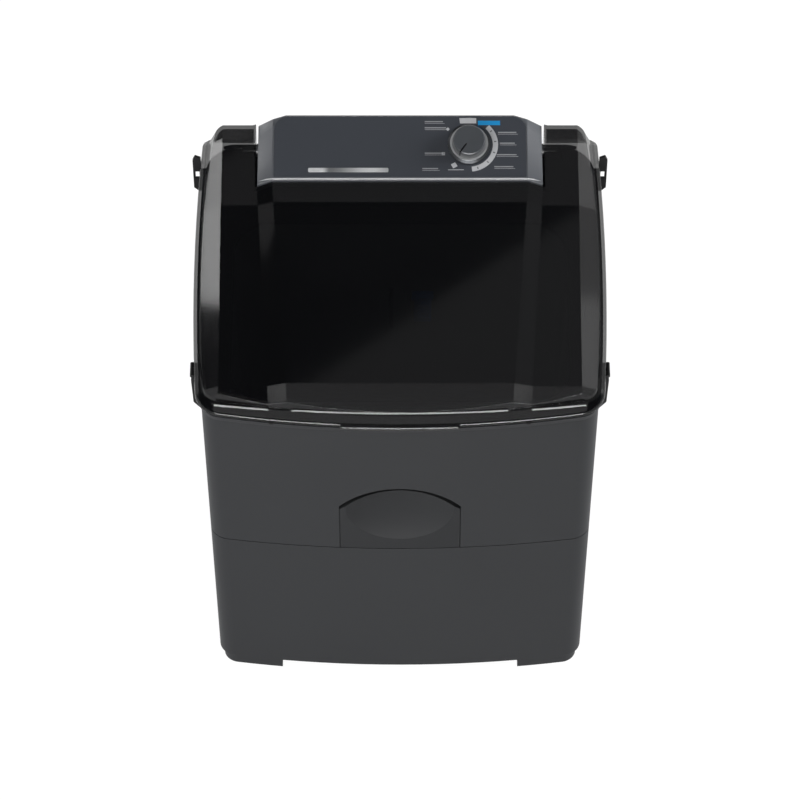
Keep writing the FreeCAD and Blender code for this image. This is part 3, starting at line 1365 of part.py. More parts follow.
def motor_mount(number):
    """Rubber mount between a motor lug and the drive plate."""
    x, y = motor_corner(number - 1)
    middle = (MOTOR_TOP + PLATE_HEIGHT) / 2
    profile = [
        (0, MOTOR_TOP),
        (MOUNT_RADIUS, MOTOR_TOP),
        (MOUNT_WAIST, middle),
        (MOUNT_RADIUS, PLATE_HEIGHT),
        (0, PLATE_HEIGHT),
    ]
    return revolved(profile, Vector(x, y, 0))


def motor_shaft():
    low = BELT_HEIGHT - PULLEY_WIDTH / 2
    return cylinder(MOTOR_SHAFT_RADIUS, low, PLATE_HEIGHT - CLEAR, 0, MOTOR_Y)


def motor_fan():
    """Cooling fan between the motor and its pulley."""
    top = FAN_BOTTOM + FAN_HEIGHT
    disc = cylinder(FAN_RADIUS, top - FAN_DISC, top, 0, MOTOR_Y)
    body = disc.fuse(cylinder(FAN_HUB, FAN_BOTTOM, top, 0, MOTOR_Y))
    half = FAN_BLADE_WIDTH / 2
    blade = box(FAN_HUB - half, FAN_RADIUS - half, MOTOR_Y - half, MOTOR_Y + half, FAN_BOTTOM, top)
    for copy in around(blade, FAN_BLADES, 0, MOTOR_Y):
        body = body.fuse(copy)
    return body.cut(cylinder(MOTOR_SHAFT_RADIUS, 0, RIM_HEIGHT, 0, MOTOR_Y)).removeSplitter()


def capacitor():
    low = PLATE_HEIGHT - CAPACITOR_LENGTH
    y = FRONT_Y + CAPACITOR_BEHIND
    return cylinder(CAPACITOR_RADIUS, low, PLATE_HEIGHT, CAPACITOR_X, y)


def capacitor_clip():
    """Band round the capacitor with a tongue up to the drive plate."""
    y = FRONT_Y + CAPACITOR_BEHIND
    low = PLATE_HEIGHT - CAPACITOR_LENGTH / 2
    outer = CAPACITOR_RADIUS + CLIP_THICK
    band = cylinder(outer, low, low + CLIP_HEIGHT, CAPACITOR_X, y)
    inner = CAPACITOR_X - outer
    half = CLIP_HEIGHT / 2
    tongue = box(inner - CLIP_THICK, inner + CLIP_THICK, y - half, y + half, low, PLATE_HEIGHT)
    return band.fuse(tongue).cut(cylinder(CAPACITOR_RADIUS, 0, RIM_HEIGHT, CAPACITOR_X, y))


def seated_on_cabinet(shape):
    """Cut away what would lie inside the cabinet's wall or the rim frame."""
    shape = shape.cut(cabinet(SEAM_HEIGHT, cabinet_top()).common(slope_slab(-FAR, SHADOW_GAP)))
    return shape.cut(rim_plate(SHADOW_GAP, FRAME_TOP, FRAME_OVERHANG, FRAME_FRONT, 0))


def on_side(shape, side):
    return shape if side > 0 else shape.mirror(Vector(0, 0, 0), Vector(1, 0, 0))


def side_lug(side):
    """Upright ear at a rear corner, with a long hole."""
    y = FRONT_Y + LUG_BEHIND
    root = BODY_WIDTH / 2 - LUG_ROOT
    notch = BODY_WIDTH / 2 + LUG_CLEAR
    shelf = (LUG_LOW + LUG_HIGH) / 2 + LUG_BEVEL
    outline_points = [
        (root, LUG_LOW + LUG_BEVEL),
        (LUG_OUT - LUG_BEVEL, LUG_LOW),
        (LUG_OUT, LUG_LOW + LUG_BEVEL),
        (LUG_OUT, LUG_HIGH - LUG_BEVEL),
        (LUG_OUT - LUG_BEVEL / 2, LUG_HIGH),
        (notch, LUG_HIGH - LUG_BEVEL / 2),
        (notch, shelf),
        (root, shelf),
    ]
    points = [Vector(x, y, RIM_HEIGHT + z) for x, z in outline_points]
    plate = extruded(points, Vector(0, LUG_THICK, 0))
    half = LUG_HOLE_WIDTH / 2
    z = RIM_HEIGHT + LUG_HOLE_RISE
    long = LUG_HOLE_LENGTH / 2
    x = LUG_OUT - LUG_HOLE_EDGE
    hole = box(x - half, x + half, y - WALL, y + LUG_THICK + WALL, z - long, z + long)
    return on_side(seated_on_cabinet(plate.cut(hole)), side)


def side_clip(side):
    """Bracket on the side wall with a beaded finger above it, parallel to the rim."""
    root = CLIP_OUT - FRONT_CORNER
    along = Vector(0, CLIP_BREADTH, 0)
    bracket_points = [
        (root, CLIP_TOP),
        (CLIP_OUT - CLIP_EDGE, CLIP_TOP),
        (CLIP_OUT, CLIP_TOP - CLIP_EDGE),
        (CLIP_OUT, CLIP_BOTTOM + CLIP_TAPER),
        (CLIP_OUT - CLIP_BEVEL, CLIP_BOTTOM),
        (root, CLIP_BOTTOM),
    ]
    body = extruded([Vector(x, CLIP_FROM, z) for x, z in bracket_points], along)
    bead = Part.makeCylinder(BEAD_RADIUS, CLIP_BREADTH, Vector(BEAD_X, CLIP_FROM, BEAD_UP), Vector(0, 1, 0))
    half = NECK_THICK / 2
    neck = box(root, BEAD_X, CLIP_FROM, CLIP_FROM + CLIP_BREADTH, BEAD_UP - half, BEAD_UP + half)
    web = box(root, CLIP_WEB, CLIP_FROM, CLIP_FROM + CLIP_BREADTH, CLIP_TOP - half, BEAD_UP)
    body = seated_on_cabinet(on_slope(body.fuse(bead).fuse(neck).fuse(web)))
    swept = rim_plate(FRAME_TOP, FRAME_TOP + FAR, LID_OVERHANG + LID_SWEEP, LID_FRONT, 0)
    return on_side(body.cut(swept), side)


def cord_gland():
    """Rubber gland with a groove for the back wall, square to the wall."""
    half = WALL / 2
    rim = half + GLAND_FLANGE_THICK
    profile = [
        (GLAND_BORE, -rim),
        (GLAND_FLANGE, -rim),
        (GLAND_FLANGE, -half),
        (GLAND_RADIUS, -half),
        (GLAND_RADIUS, half),
        (GLAND_FLANGE, half),
        (GLAND_FLANGE - half, rim),
        (GLAND_BORE, rim),
    ]
    body = revolved(profile, Vector(0, 0, 0))
    body.rotate(Vector(0, 0, 0), Vector(1, 0, 0), -90 - WALL_DRAFT)
    body.translate(Vector(GLAND_X, back_wall(GLAND_HEIGHT) - half, GLAND_HEIGHT))
    return body


def both_sides(name, maker):
    return {name + "_left": maker(-1), name + "_right": maker(1)}


def nodes():
    parts = {
        "base_skirt": base_skirt(),
        "upper_cabinet": upper_cabinet(),
        "grip_cup": grip_cup(),
        "top_frame": top_frame(),
        "cord_gland": cord_gland(),
        "wash_tub": wash_tub(),
        "circulation_channel": circulation_channel(),
        "lint_guide": lint_guide(),
        "lint_filter": lint_filter(),
        "drain_grille": drain_grille(),
        "drain_elbow": drain_elbow(),
        "pulsator": pulsator(),
        "pulsator_cap": pulsator_cap(),
        "pulsator_shaft": pulsator_shaft(),
        "bearing_housing": bearing_housing(),
        "upper_bush": sleeve(WELL_UNDER - SEAL_THICK - BUSH_LENGTH),
        "lower_bush": sleeve(HOUSING_BOTTOM),
        "shaft_seal": shaft_seal(),
        "driven_pulley": driven_pulley(),
        "drive_belt": drive_belt(),
        "drive_plate": drive_plate(),
        "motor": motor(),
        "motor_shaft": motor_shaft(),
        "motor_fan": motor_fan(),
        "motor_pulley": motor_pulley(),
        "capacitor": capacitor(),
        "capacitor_clip": capacitor_clip(),
        "console_housing": console_housing(),
        "fascia": fascia(),
        "console_trim": trim_strip(),
        "fascia_bar": fascia_bar(),
        "timer": timer(),
        "timer_shaft": timer_shaft(),
        "knob": knob(),
        "knob_skirt": knob_skirt(),
        "lid": lid(),
    }
    for name, maker in (
        ("hinge_pin", hinge_pin),
        ("lid_bumper", lid_bumper),
        ("side_lug", side_lug),
        ("side_clip", side_clip),
    ):
        parts.update(both_sides(name, maker))
    for number in MOUNT_NUMBERS:
        parts["motor_mount_%d" % number] = motor_mount(number)
    corners = [(side, end) for end in (-1, 1) for side in (-1, 1)]
    for number, (side, end) in enumerate(corners, 1):
        parts["foot_%d" % number] = foot(side, end)
    return parts


os.makedirs("parts", exist_ok=True)
for node_name, node_shape in nodes().items():
    node_shape.exportStep("parts/%s.step" % node_name)
    print(node_name, len(node_shape.Solids), "solid", round(node_shape.Volume / 1000, 1), "cm3")
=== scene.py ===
# %% [markdown]
# # A semi-automatic washing machine
# The machine's real shapes come from its CAD model, which is loaded first as a fixed frame.
# Blender adds what a drawing can't hold: finishes, prints, softened edges, light and a camera.
# Everything is in metres: +Z is up, the front faces -Y and the floor is Z = 0.

# %% Load the frame
import json
import math
import bpy
from mathutils import Matrix, Vector


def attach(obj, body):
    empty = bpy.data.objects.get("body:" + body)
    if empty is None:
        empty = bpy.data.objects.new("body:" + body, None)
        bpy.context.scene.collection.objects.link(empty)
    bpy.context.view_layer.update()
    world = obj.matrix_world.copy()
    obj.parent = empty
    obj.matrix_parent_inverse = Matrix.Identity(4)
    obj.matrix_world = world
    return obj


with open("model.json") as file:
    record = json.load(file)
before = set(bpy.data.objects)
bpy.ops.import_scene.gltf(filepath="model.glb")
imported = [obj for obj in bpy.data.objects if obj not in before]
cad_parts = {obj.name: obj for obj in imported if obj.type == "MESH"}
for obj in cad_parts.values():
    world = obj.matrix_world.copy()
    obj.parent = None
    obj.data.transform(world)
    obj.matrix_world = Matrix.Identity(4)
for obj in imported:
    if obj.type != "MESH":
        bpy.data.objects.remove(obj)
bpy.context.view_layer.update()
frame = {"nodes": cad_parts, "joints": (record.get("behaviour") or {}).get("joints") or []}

# %% [markdown]
# ## Where things are
# Two small frames repeat all over the machine: the sloping rim that the lid lies on, and the fascia of
# the console. They could be read off by eye, but the hinge's place in the record fixes both exactly.
# A matrix for each lets a print or a finish be laid out flat and then turned into its place.

# %% Frames of the machine
HINGE_BACK, HINGE_UP = 0.352, 0.131  # the lid's hinge, from the front edge of the rim
RIM_SLOPE = math.radians(15.5)
FASCIA_BACK, FASCIA_UP = 0.3006, 0.1276  # the fascia's lower edge, from the front edge of the rim
FASCIA_SLOPE = math.radians(28)
KNOB_ACROSS, KNOB_UP = 0.0836, 0.046  # the knob's axis, on the fascia

hinge = next(joint for joint in frame["joints"] if joint["name"] == "lid_hinge")
FRONT_Y = hinge["pos_m"][1] - HINGE_BACK
RIM_HEIGHT = hinge["pos_m"][2] - HINGE_UP
RIM_FRONT = Vector((0, FRONT_Y, RIM_HEIGHT))
SLOPE = Matrix.Translation(RIM_FRONT) @ Matrix.Rotation(RIM_SLOPE, 4, "X")
FASCIA_FOOT = Vector((0, FRONT_Y + FASCIA_BACK, RIM_HEIGHT + FASCIA_UP))
FASCIA = Matrix.Translation(FASCIA_FOOT) @ Matrix.Rotation(FASCIA_SLOPE, 4, "X")
KNOB = FASCIA @ Matrix.Translation((KNOB_ACROSS, KNOB_UP, 0))
print("rim at", round(RIM_HEIGHT, 4), "fascia's lower edge at", [round(v, 4) for v in FASCIA_FOOT])

# %% [markdown]
# ## The camera
# The machine is seen from the front and well above, through a long lens that keeps its uprights nearly
# straight. The camera could be placed by its coordinates, but its distance from the front of the rim,
# along its own line of sight, says more: it can be moved nearer without changing the aim.

# %% Camera
PITCH = math.radians(45)
RANGE = 3.498  # along the line of sight, to the front edge of the rim
RAISED = 0.0373  # of the line of sight above that edge
SENSOR_MM, LENS_MM = 36, 135

ahead = Vector((0, math.sin(PITCH), -math.cos(PITCH)))
upward = Vector((0, math.cos(PITCH), math.sin(PITCH)))
viewpoint = RIM_FRONT - ahead * RANGE + upward * RAISED
bpy.ops.object.select_all(action="DESELECT")
bpy.ops.object.camera_add(location=viewpoint, rotation=(PITCH, 0, 0))
camera = bpy.context.object
camera.name = "studio_camera"
camera.data.sensor_width = SENSOR_MM
camera.data.lens = LENS_MM
bpy.context.scene.camera = camera
bpy.context.scene.view_settings.view_transform = "Standard"
print("camera at", [round(v, 3) for v in camera.location])

# %% [markdown]
# ## Writing shaders as sums
# A finish is a small calculation: a base colour, some noise, a bump. Wiring it by hand is slow to read,
# so one class wraps a node socket and `a * 0.5 + b` then adds the Math nodes by itself.

# %% A socket that can be added and multiplied
class Value:
    """One output socket of a material's node tree."""

    def __init__(self, finish, socket):
        self.finish = finish
        self.socket = socket

    def maths(self, operation, *others):
        return self.finish.node("ShaderNodeMath", {"operation": operation}, [self, *others])

    def __add__(self, other):
        return self.maths("ADD", other)

    def __sub__(self, other):
        return self.maths("SUBTRACT", other)

    def __rsub__(self, other):
        return self.finish.node("ShaderNodeMath", {"operation": "SUBTRACT"}, [other, self])

    def __mul__(self, other):
        return self.maths("MULTIPLY", other)

    def __truediv__(self, other):
        return self.maths("DIVIDE", other)

    def __lt__(self, other):
        return self.maths("LESS_THAN", other)

    def __gt__(self, other):
        return self.maths("GREATER_THAN", other)

    def __abs__(self):
        return self.maths("ABSOLUTE")

    __radd__ = __add__
    __rmul__ = __mul__

    def most(self, other):
        return self.maths("MAXIMUM", other)

    def fade(self, low, high):
        """0 below low, 1 above high, and a smooth step between."""
        return self.finish.node(
            "ShaderNodeMapRange", {"interpolation_type": "SMOOTHSTEP"}, [self, low, high, 0.0, 1.0]
        )


print("sums of sockets:", ", ".join(name for name in vars(Value) if name[0] != "_"))

# %% [markdown]
# ## One finish, one material
# Every finish is one Principled shader. What is the same all over goes straight onto its sockets, and what
# varies is fed from nodes. Real edges are never knife sharp. They could be rounded in the mesh, but that is
# the CAD model's, so a Bevel node turns the normal a little at each edge until it catches a line of light,
# and the grain's bump is laid on top of that.

# %% A material and its nodes
BEVEL_SAMPLES = 6
SEEN_RAYS = ("Is Camera Ray", "Is Glossy Ray", "Is Transmission Ray")


class Finish:
    """A material with one Principled shader, and the nodes that feed it."""

    def __init__(self, name, **fixed):
        self.material = bpy.data.materials.new(name)
        self.material.use_nodes = True
        self.tree = self.material.node_tree
        self.shader = self.tree.nodes["Principled BSDF"]
        for socket, value in fixed.items():
            self.shader.inputs[socket.replace("_", " ")].default_value = value

    def node(self, kind, settings=None, inputs=(), out=0):
        made = self.tree.nodes.new(kind)
        for key, value in (settings or {}).items():
            setattr(made, key, value)
        pairs = inputs.items() if isinstance(inputs, dict) else enumerate(inputs)
        for key, value in pairs:
            self.plug(value, made.inputs[key])
        return Value(self, made.outputs[out])

    def plug(self, value, socket):
        if isinstance(value, Value):
            self.tree.links.new(value.socket, socket)
        else:
            socket.default_value = value

    def feed(self, socket, value):
        self.plug(value, self.shader.inputs[socket])

    def place(self, matrix=None):
        """Object coordinates, in the frame of the given matrix."""
        coordinates = self.node("ShaderNodeTexCoord", out="Object")
        if matrix is not None:
            spot, turn, _ = matrix.decompose()
            inputs = {"Vector": coordinates, "Location": spot, "Rotation": turn.to_euler()}
            coordinates = self.node("ShaderNodeMapping", {"vector_type": "TEXTURE"}, inputs)
        return coordinates

    def stretched(self, scale):
        """Object coordinates, each axis multiplied by its own number."""
        inputs = {"Vector": self.place(), "Scale": scale}
        return self.node("ShaderNodeMapping", {"vector_type": "POINT"}, inputs)

    def axes(self, coordinates):
        return [self.node("ShaderNodeSeparateXYZ", None, [coordinates], axis) for axis in "XYZ"]

    def noise(self, coordinates, scale, detail=2.0, rough=0.5):
        inputs = {"Vector": coordinates, "Scale": scale, "Detail": detail, "Roughness": rough}
        return self.node("ShaderNodeTexNoise", None, inputs)

    def mix(self, share, first, second):
        """First colour where share is 0, second where it is 1."""
        ends = [end if isinstance(end, Value) else (*end, 1.0) for end in (first, second)]
        return self.node("ShaderNodeMix", {"data_type": "RGBA"}, {0: share, 6: ends[0], 7: ends[1]}, 2)

    def bump(self, height, strength, distance, edge):
        """Relief of the surface, on edges softened to the given radius."""
        soft = self.node("ShaderNodeBevel", {"samples": BEVEL_SAMPLES}, {"Radius": edge})
        inputs = {"Height": height, "Strength": strength, "Distance": distance, "Normal": soft}
        self.feed("Normal", self.node("ShaderNodeBump", None, inputs))

    def seen(self):
        """1 for what the camera, a mirror or a pane of glass sees, 0 for soft light."""
        rays = self.tree.nodes.new("ShaderNodeLightPath")
        camera_ray, glossy_ray, clear_ray = [Value(self, rays.outputs[name]) for name in SEEN_RAYS]
        return camera_ray.most(glossy_ray).most(clear_ray)


def paint(finish, *nodes):
    """Give a finish to CAD nodes."""
    for name in nodes:
        piece = frame["nodes"][name]
        piece.data.materials.clear()
        piece.data.materials.append(finish.material)
    print(finish.material.name, "->", ", ".join(nodes))


print("finish tools:", ", ".join(name for name in vars(Finish) if name[0] != "_"))

# %% [markdown]
# ## Moulded plastic
# The cabinet is charcoal plastic with a spark-eroded grain: a dense fine pebble that scatters the light.
# The pebbles could be modelled, but they are far smaller than a face of the mesh, so fine noise gives the
# grain its bump and broad noise a trace of cloudiness in colour and sheen. The same recipe, with other
# colours and sizes of grain, serves every moulded part of the machine.

# %% Grained plastic
CLOUD_SCALE = 9.0  # broad patches to the metre
CLOUD = 0.06  # how much lighter or darker they are
PEBBLE_RELIEF = 0.35
CHARCOAL = (0.0318, 0.0336, 0.0372)
GRIP_GREY = (0.0510, 0.0525, 0.0555)
SATIN_GREY = (0.125, 0.133, 0.148)
SOFT_BLACK = (0.009, 0.009, 0.010)


def grained(name, colour, roughness, grain=1600.0, depth=0.00006, specular=0.5, edge=0.0008):
    """Plastic with pebbles: grain of them to the metre, and of the given depth."""
    finish = Finish(name, Specular_IOR_Level=specular)
    spot = finish.place()
    broad = finish.noise(spot, CLOUD_SCALE, 3.0)
    pebble = finish.noise(spot, grain, 2.0, 0.6)
    pale = tuple(min(1.0, c * (1 + CLOUD)) for c in colour)
    deep = tuple(c * (1 - CLOUD) for c in colour)
    finish.feed("Base Color", finish.mix(broad * 0.7 + pebble * 0.3, deep, pale))
    finish.feed("Roughness", roughness + (broad - 0.5) * 0.08 + (pebble - 0.5) * 0.10)
    finish.bump(pebble, PEBBLE_RELIEF, depth, edge)
    return finish


cabinet_plastic = grained("charcoal_grain", CHARCOAL, 0.52, specular=0.2)
console_plastic = grained("console_satin", SATIN_GREY, 0.36, grain=2200.0, depth=0.00003, edge=0.0014)
black_plastic = grained("black_grain", SOFT_BLACK, 0.50, specular=0.15)
grip_plastic = grained("grip_grain", GRIP_GREY, 0.57, specular=0.07)
paint(cabinet_plastic, "base_skirt", "upper_cabinet", "top_frame")
paint(grip_plastic, "grip_cup")
paint(console_plastic, "console_housing")
paint(black_plastic, "side_lug_left", "side_lug_right", "side_clip_left", "side_clip_right")
paint(black_plastic, "drain_elbow", "drain_grille", "circulation_channel")

# %% [markdown]
# ## Inside the tub and under it
# The tub, the pulsator and the filter are smoother plastic, because water and laundry rub along them.
# Rubber is nearly black, rough and soft-looking. A recipe of its own could serve it, but the plastic's
# does as well with a coarser grain and little shine.

# %% Tub, pulsator, filter and rubber
POLISHED = 0.00002  # depth of the grain where laundry rubs
WHITE, TUB_GREY, PALE_GREY = (0.68, 0.68, 0.66), (0.12, 0.125, 0.13), (0.50, 0.52, 0.54)
FILTER_BLUE, RUBBER_BLACK = (0.013, 0.16, 0.51), (0.018, 0.018, 0.018)

white_plastic = grained("plain_white", WHITE, 0.45)
tub_plastic = grained("tub_grey", TUB_GREY, 0.30, depth=POLISHED)
pulsator_plastic = grained("pulsator_pale", PALE_GREY, 0.28, depth=POLISHED)
filter_plastic = grained("filter_blue", FILTER_BLUE, 0.30, depth=POLISHED)
rubber = grained("black_rubber", RUBBER_BLACK, 0.75, grain=900.0, depth=0.0001, specular=0.3)
paint(white_plastic, "motor_fan", "capacitor", "timer")
paint(tub_plastic, "wash_tub", "lint_guide")
paint(pulsator_plastic, "pulsator", "pulsator_cap")
paint(filter_plastic, "lint_filter")
paint(rubber, *(f"foot_{corner}" for corner in range(1, 5)))
paint(rubber, *(f"motor_mount_{corner}" for corner in range(1, 5)))
paint(rubber, "lid_bumper_left", "lid_bumper_right", "cord_gland", "shaft_seal", "drive_belt")

# %% [markdown]
# ## Metal
# Shafts and trim are turned or brushed, so their scratches run one way. Single scratches could be drawn, but
# noise that is stretched along the brushing does it; castings keep a coarse even grain, and painted steel a
# faint orange peel, which the plastic's recipe gives.

# %% Brushed, cast and painted metal
STEEL, ALLOY, BRONZE = (0.52, 0.52, 0.53), (0.58, 0.58, 0.59), (0.56, 0.40, 0.20)
STEEL_PAINT = (0.080, 0.085, 0.090)
HAIR_SHADE = 0.86  # a scratch's brightness against the metal's
METAL_EDGE = 0.0004


def brushed(name, colour, roughness, stretch):
    """Bare metal; stretch is how many scratches there are to the metre along each axis."""
    finish = Finish(name, Metallic=1.0)
    hair = finish.noise(finish.stretched(stretch), 1.0, 3.0, 0.7)
    finish.feed("Base Color", finish.mix(hair, tuple(c * HAIR_SHADE for c in colour), colour))
    finish.feed("Roughness", roughness + (hair - 0.5) * 0.18)
    finish.bump(hair, 0.15, 0.00004, METAL_EDGE)
    return finish


turned_steel = brushed("turned_steel", STEEL, 0.32, (400, 400, 3000))
cast_alloy = brushed("cast_alloy", ALLOY, 0.48, (700, 700, 700))
bush_bronze = brushed("bush_bronze", BRONZE, 0.40, (500, 500, 500))
painted_steel = grained("painted_steel", STEEL_PAINT, 0.34, grain=500.0, depth=0.00004)
paint(turned_steel, "pulsator_shaft", "motor_shaft", "timer_shaft", "capacitor_clip")
paint(cast_alloy, "bearing_housing", "driven_pulley", "motor_pulley")
paint(bush_bronze, "upper_bush", "lower_bush")
paint(painted_steel, "motor", "drive_plate", "hinge_pin_left", "hinge_pin_right")

# %% [markdown]
# ## Silver trim
# The line under the fascia and the bar on it are foil-stamped: bright, but satin enough to look light from
# most sides. Bare metal would turn black wherever it mirrors the dark room, so a part of the brightness is a
# pale undercoat, and Metallic stays well below 1. Along the bar, a painted reflection shades its colour:
# bright at the left, then a sudden dim streak that clears slowly, and a little dimmer at the right end.

# %% Foil
FOIL_HAIRS = (60, 2500, 2500)
# the dim colour is painted reflection, for the darker stretches of the bar
FOIL_DULL, FOIL_BRIGHT, FOIL_PAINTED_DIM = (0.74, 0.75, 0.76), (0.88, 0.89, 0.90), (0.10, 0.105, 0.11)
LINE_MIDDLE, LINE_HALF = 0.0015, 0.0009  # the line under the fascia, up the fascia's slope
BAR_FOOT = 0.006  # above this, foil is the bar's
PAINTED_STREAK_STARTS, PAINTED_STREAK_CLEARS = (-0.0945, -0.0850), (-0.0840, -0.0350)
PAINTED_END_DIM = (-0.0340, -0.0120)
FOIL_EDGE = 0.0003

foil = Finish("silver_foil", Specular_IOR_Level=0.6)
hair = foil.noise(foil.stretched(FOIL_HAIRS), 1.0, 3.0, 0.7)
u, v, _ = foil.axes(foil.place(FASCIA))
on_bar = v > BAR_FOOT
# painted reflection: a dim streak and a dimmer right end are painted into the bar's colour
painted_streak = u.fade(*PAINTED_STREAK_STARTS) * (1 - u.fade(*PAINTED_STREAK_CLEARS))
painted_dimming = on_bar * (painted_streak * 0.85).most(u.fade(*PAINTED_END_DIM) * 0.4)
bright = foil.mix(painted_dimming, foil.mix(hair, FOIL_DULL, FOIL_BRIGHT), FOIL_PAINTED_DIM)
stamped = (abs(v - LINE_MIDDLE) < LINE_HALF).most(on_bar)
foil.feed("Base Color", foil.mix(stamped, SATIN_GREY, bright))
foil.feed("Metallic", 0.10 + hair * 0.15)
foil.feed("Roughness", 0.22 + hair * 0.14)
foil.bump(hair, 0.1, 0.00003, FOIL_EDGE)
paint(foil, "console_trim", "fascia_bar")

# %% [markdown]
# ## The smoked lid
# The cover is acrylic, dyed so dark that only a trace of the tub shows through. It could be glass with a
# dark absorption, but a partly clear surface does the same for a thin sheet and renders without noise.
# It is polished, with the faintest waviness from the mould, and its creases are only just softened.

# %% Smoked gloss
SMOKE_COVER = 0.66  # share of what lies behind that the dye hides
SMOKE_DEEP, SMOKE_PALE = (0.0024, 0.0027, 0.0036), (0.0040, 0.0044, 0.0056)
HAZE_SCALE, WAVE_SCALE = 14.0, 22.0
WAVE_RELIEF, WAVE_DEPTH = 0.05, 0.0004
CREASE = 0.0005

smoked = Finish("smoked_gloss", Specular_IOR_Level=0.5, Alpha=SMOKE_COVER)
spot = smoked.place()
haze = smoked.noise(spot, HAZE_SCALE, 4.0, 0.6)
smoked.feed("Base Color", smoked.mix(haze, SMOKE_DEEP, SMOKE_PALE))
smoked.feed("Roughness", 0.04 + haze * 0.04)
smoked.bump(smoked.noise(spot, WAVE_SCALE, 1.0), WAVE_RELIEF, WAVE_DEPTH, CREASE)
paint(smoked, "lid")

# %% [markdown]
# ## Beads on the lid's front
# Where the lid's facets meet the ledge in front, the moulding has a narrow raised bead, whose sloping face
# catches the light as a crisp white line. It could be a curve with a round section, but a round bead spreads
# the light. It follows the lid's bowed front, so it is spun: a small square, turned on its edge, is carried
# round a far centre, half sunk into the ledge.

# %% Beads
BOW = 1.9  # radius of the lid's bowed front
BEAD_TILT = math.radians(45.5)
BEAD_STEPS = 24
DOUBLES = 0.00001


def bead(name, start, end, front, height=0.0153, size=0.0024):
    """A raised bead from one x to another; front is its distance behind the rim's edge at x = 0."""
    first, last = math.asin(start / BOW), math.asin(end / BOW)
    centre = Vector((0, front + BOW, height))
    at = centre + Vector((math.sin(first), -math.cos(first), 0)) * BOW
    slope = SLOPE.to_3x3()
    turn = slope @ Matrix.Rotation(first, 3, "Z") @ Matrix.Rotation(BEAD_TILT, 3, "X")
    turn = turn @ Matrix.Rotation(math.radians(90), 3, "Y")
    bpy.ops.object.select_all(action="DESELECT")
    bpy.ops.mesh.primitive_plane_add(size=size, location=SLOPE @ at, rotation=turn.to_euler())
    piece = bpy.context.object
    piece.name = name
    bpy.ops.object.transform_apply(location=True, rotation=True, scale=True)
    bpy.ops.object.mode_set(mode="EDIT")
    bpy.ops.mesh.select_all(action="SELECT")
    axis = slope @ Vector((0, 0, 1))
    bpy.ops.mesh.spin(steps=BEAD_STEPS, angle=first - last, center=SLOPE @ centre, axis=axis)
    bpy.ops.mesh.select_all(action="SELECT")
    bpy.ops.mesh.remove_doubles(threshold=DOUBLES)
    bpy.ops.mesh.normals_make_consistent(inside=False)
    bpy.ops.object.mode_set(mode="OBJECT")
    piece.data.materials.append(smoked.material)
    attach(piece, "lid")
    reach = [round(vertex.co.x, 3) for vertex in piece.data.vertices]
    print(name, "x", min(reach), "to", max(reach), "faces", len(piece.data.polygons))


FRONT_HALF, SIDE_FROM, SIDE_TO, TAB_HALF = 0.126, 0.154, 0.217, 0.067
bead("front_bead", -FRONT_HALF, FRONT_HALF, 0.0162)
bead("left_bead", -SIDE_TO, -SIDE_FROM, 0.0152)
bead("right_bead", SIDE_FROM, SIDE_TO, 0.0152)
bead("tab_bead", -TAB_HALF, TAB_HALF, -0.0022, height=0.0126, size=0.0014)

# %% [markdown]
# ## The fascia and its prints
# The fascia is a satin blue-grey plate with screen prints: a ring round the knob, marks and plain bars.
# Each could be a thin piece of its own, but ink has no thickness to speak of, so the prints are drawn in the
# material, as yes-or-no masks in the fascia's own frame: u runs across it and v up its slope.

# %% Masks of the prints
def printed_bar(u, v, left, right, low, high):
    """1 inside an upright rectangle of the fascia, 0 outside."""
    across = abs(u - (left + right) / 2) < (right - left) / 2
    return across * (abs(v - (low + high) / 2) < (high - low) / 2)


def printed_mark(u, v, at, size, turn):
    """1 inside a square that stands on a turned side."""
    cos, sin = math.cos(math.radians(turn)), math.sin(math.radians(turn))
    du, dv = u - at[0], v - at[1]
    along, up = du * cos + dv * sin, dv * cos - du * sin
    return (abs(along) < size / 2) * (abs(up) < size / 2)


# Each label is a plain bar with a hairline under it: its left end, right end and foot.
LABELS = [(0.119, 0.141, 0.061), (0.121, 0.139, 0.047), (0.117, 0.141, 0.032), (0.114, 0.137, 0.0165)]
LABELS += [(0.030, 0.052, 0.075), (0.030, 0.056, 0.067), (0.030, 0.052, 0.034), (0.027, 0.046, 0.014)]
LABEL_HEIGHT, LABEL_INK = 0.0015, 0.55
HAIRLINE_TOP, HAIRLINE_FOOT, HAIRLINE_INK = 0.0013, 0.0018, 0.8  # both below the label's foot
HAIRLINE_LONGER = 0.002
LONE_LINE = (0.058, 0.077, 0.0128, 0.0136)


def printed_labels(u, v):
    """The labels beside the ring, and one line below the knob."""
    total = printed_bar(u, v, *LONE_LINE)
    for left, right, foot in LABELS:
        total = total + printed_bar(u, v, left, right, foot, foot + LABEL_HEIGHT) * LABEL_INK
        low, high = foot - HAIRLINE_FOOT, foot - HAIRLINE_TOP
        total = total + printed_bar(u, v, left, right + HAIRLINE_LONGER, low, high) * HAIRLINE_INK
    return total


print("labels:", len(LABELS))

# %% [markdown]
# The ring runs from half past one to a quarter to six round the knob. Its radius and its angle come from
# the place on the fascia by Pythagoras and an arc tangent; dots on it repeat by a fraction of the angle.

# %% The ring and its dots
RING_INNER, RING_OUTER = 0.0288, 0.0352
RING_START, RING_END = math.radians(46), math.radians(84)  # above and below the knob's level
DOT_PITCH = math.radians(26)
DOT_WIDTH, DOT_RADIUS, DOT_HALF, DOT_INK = 0.055, 0.032, 0.0014, 0.75  # width as a share of the pitch
TAB = (0.0705, 0.0925, 0.0735, 0.0805)
TAB_LEAST, TAB_FLARE = 0.0075, 0.12


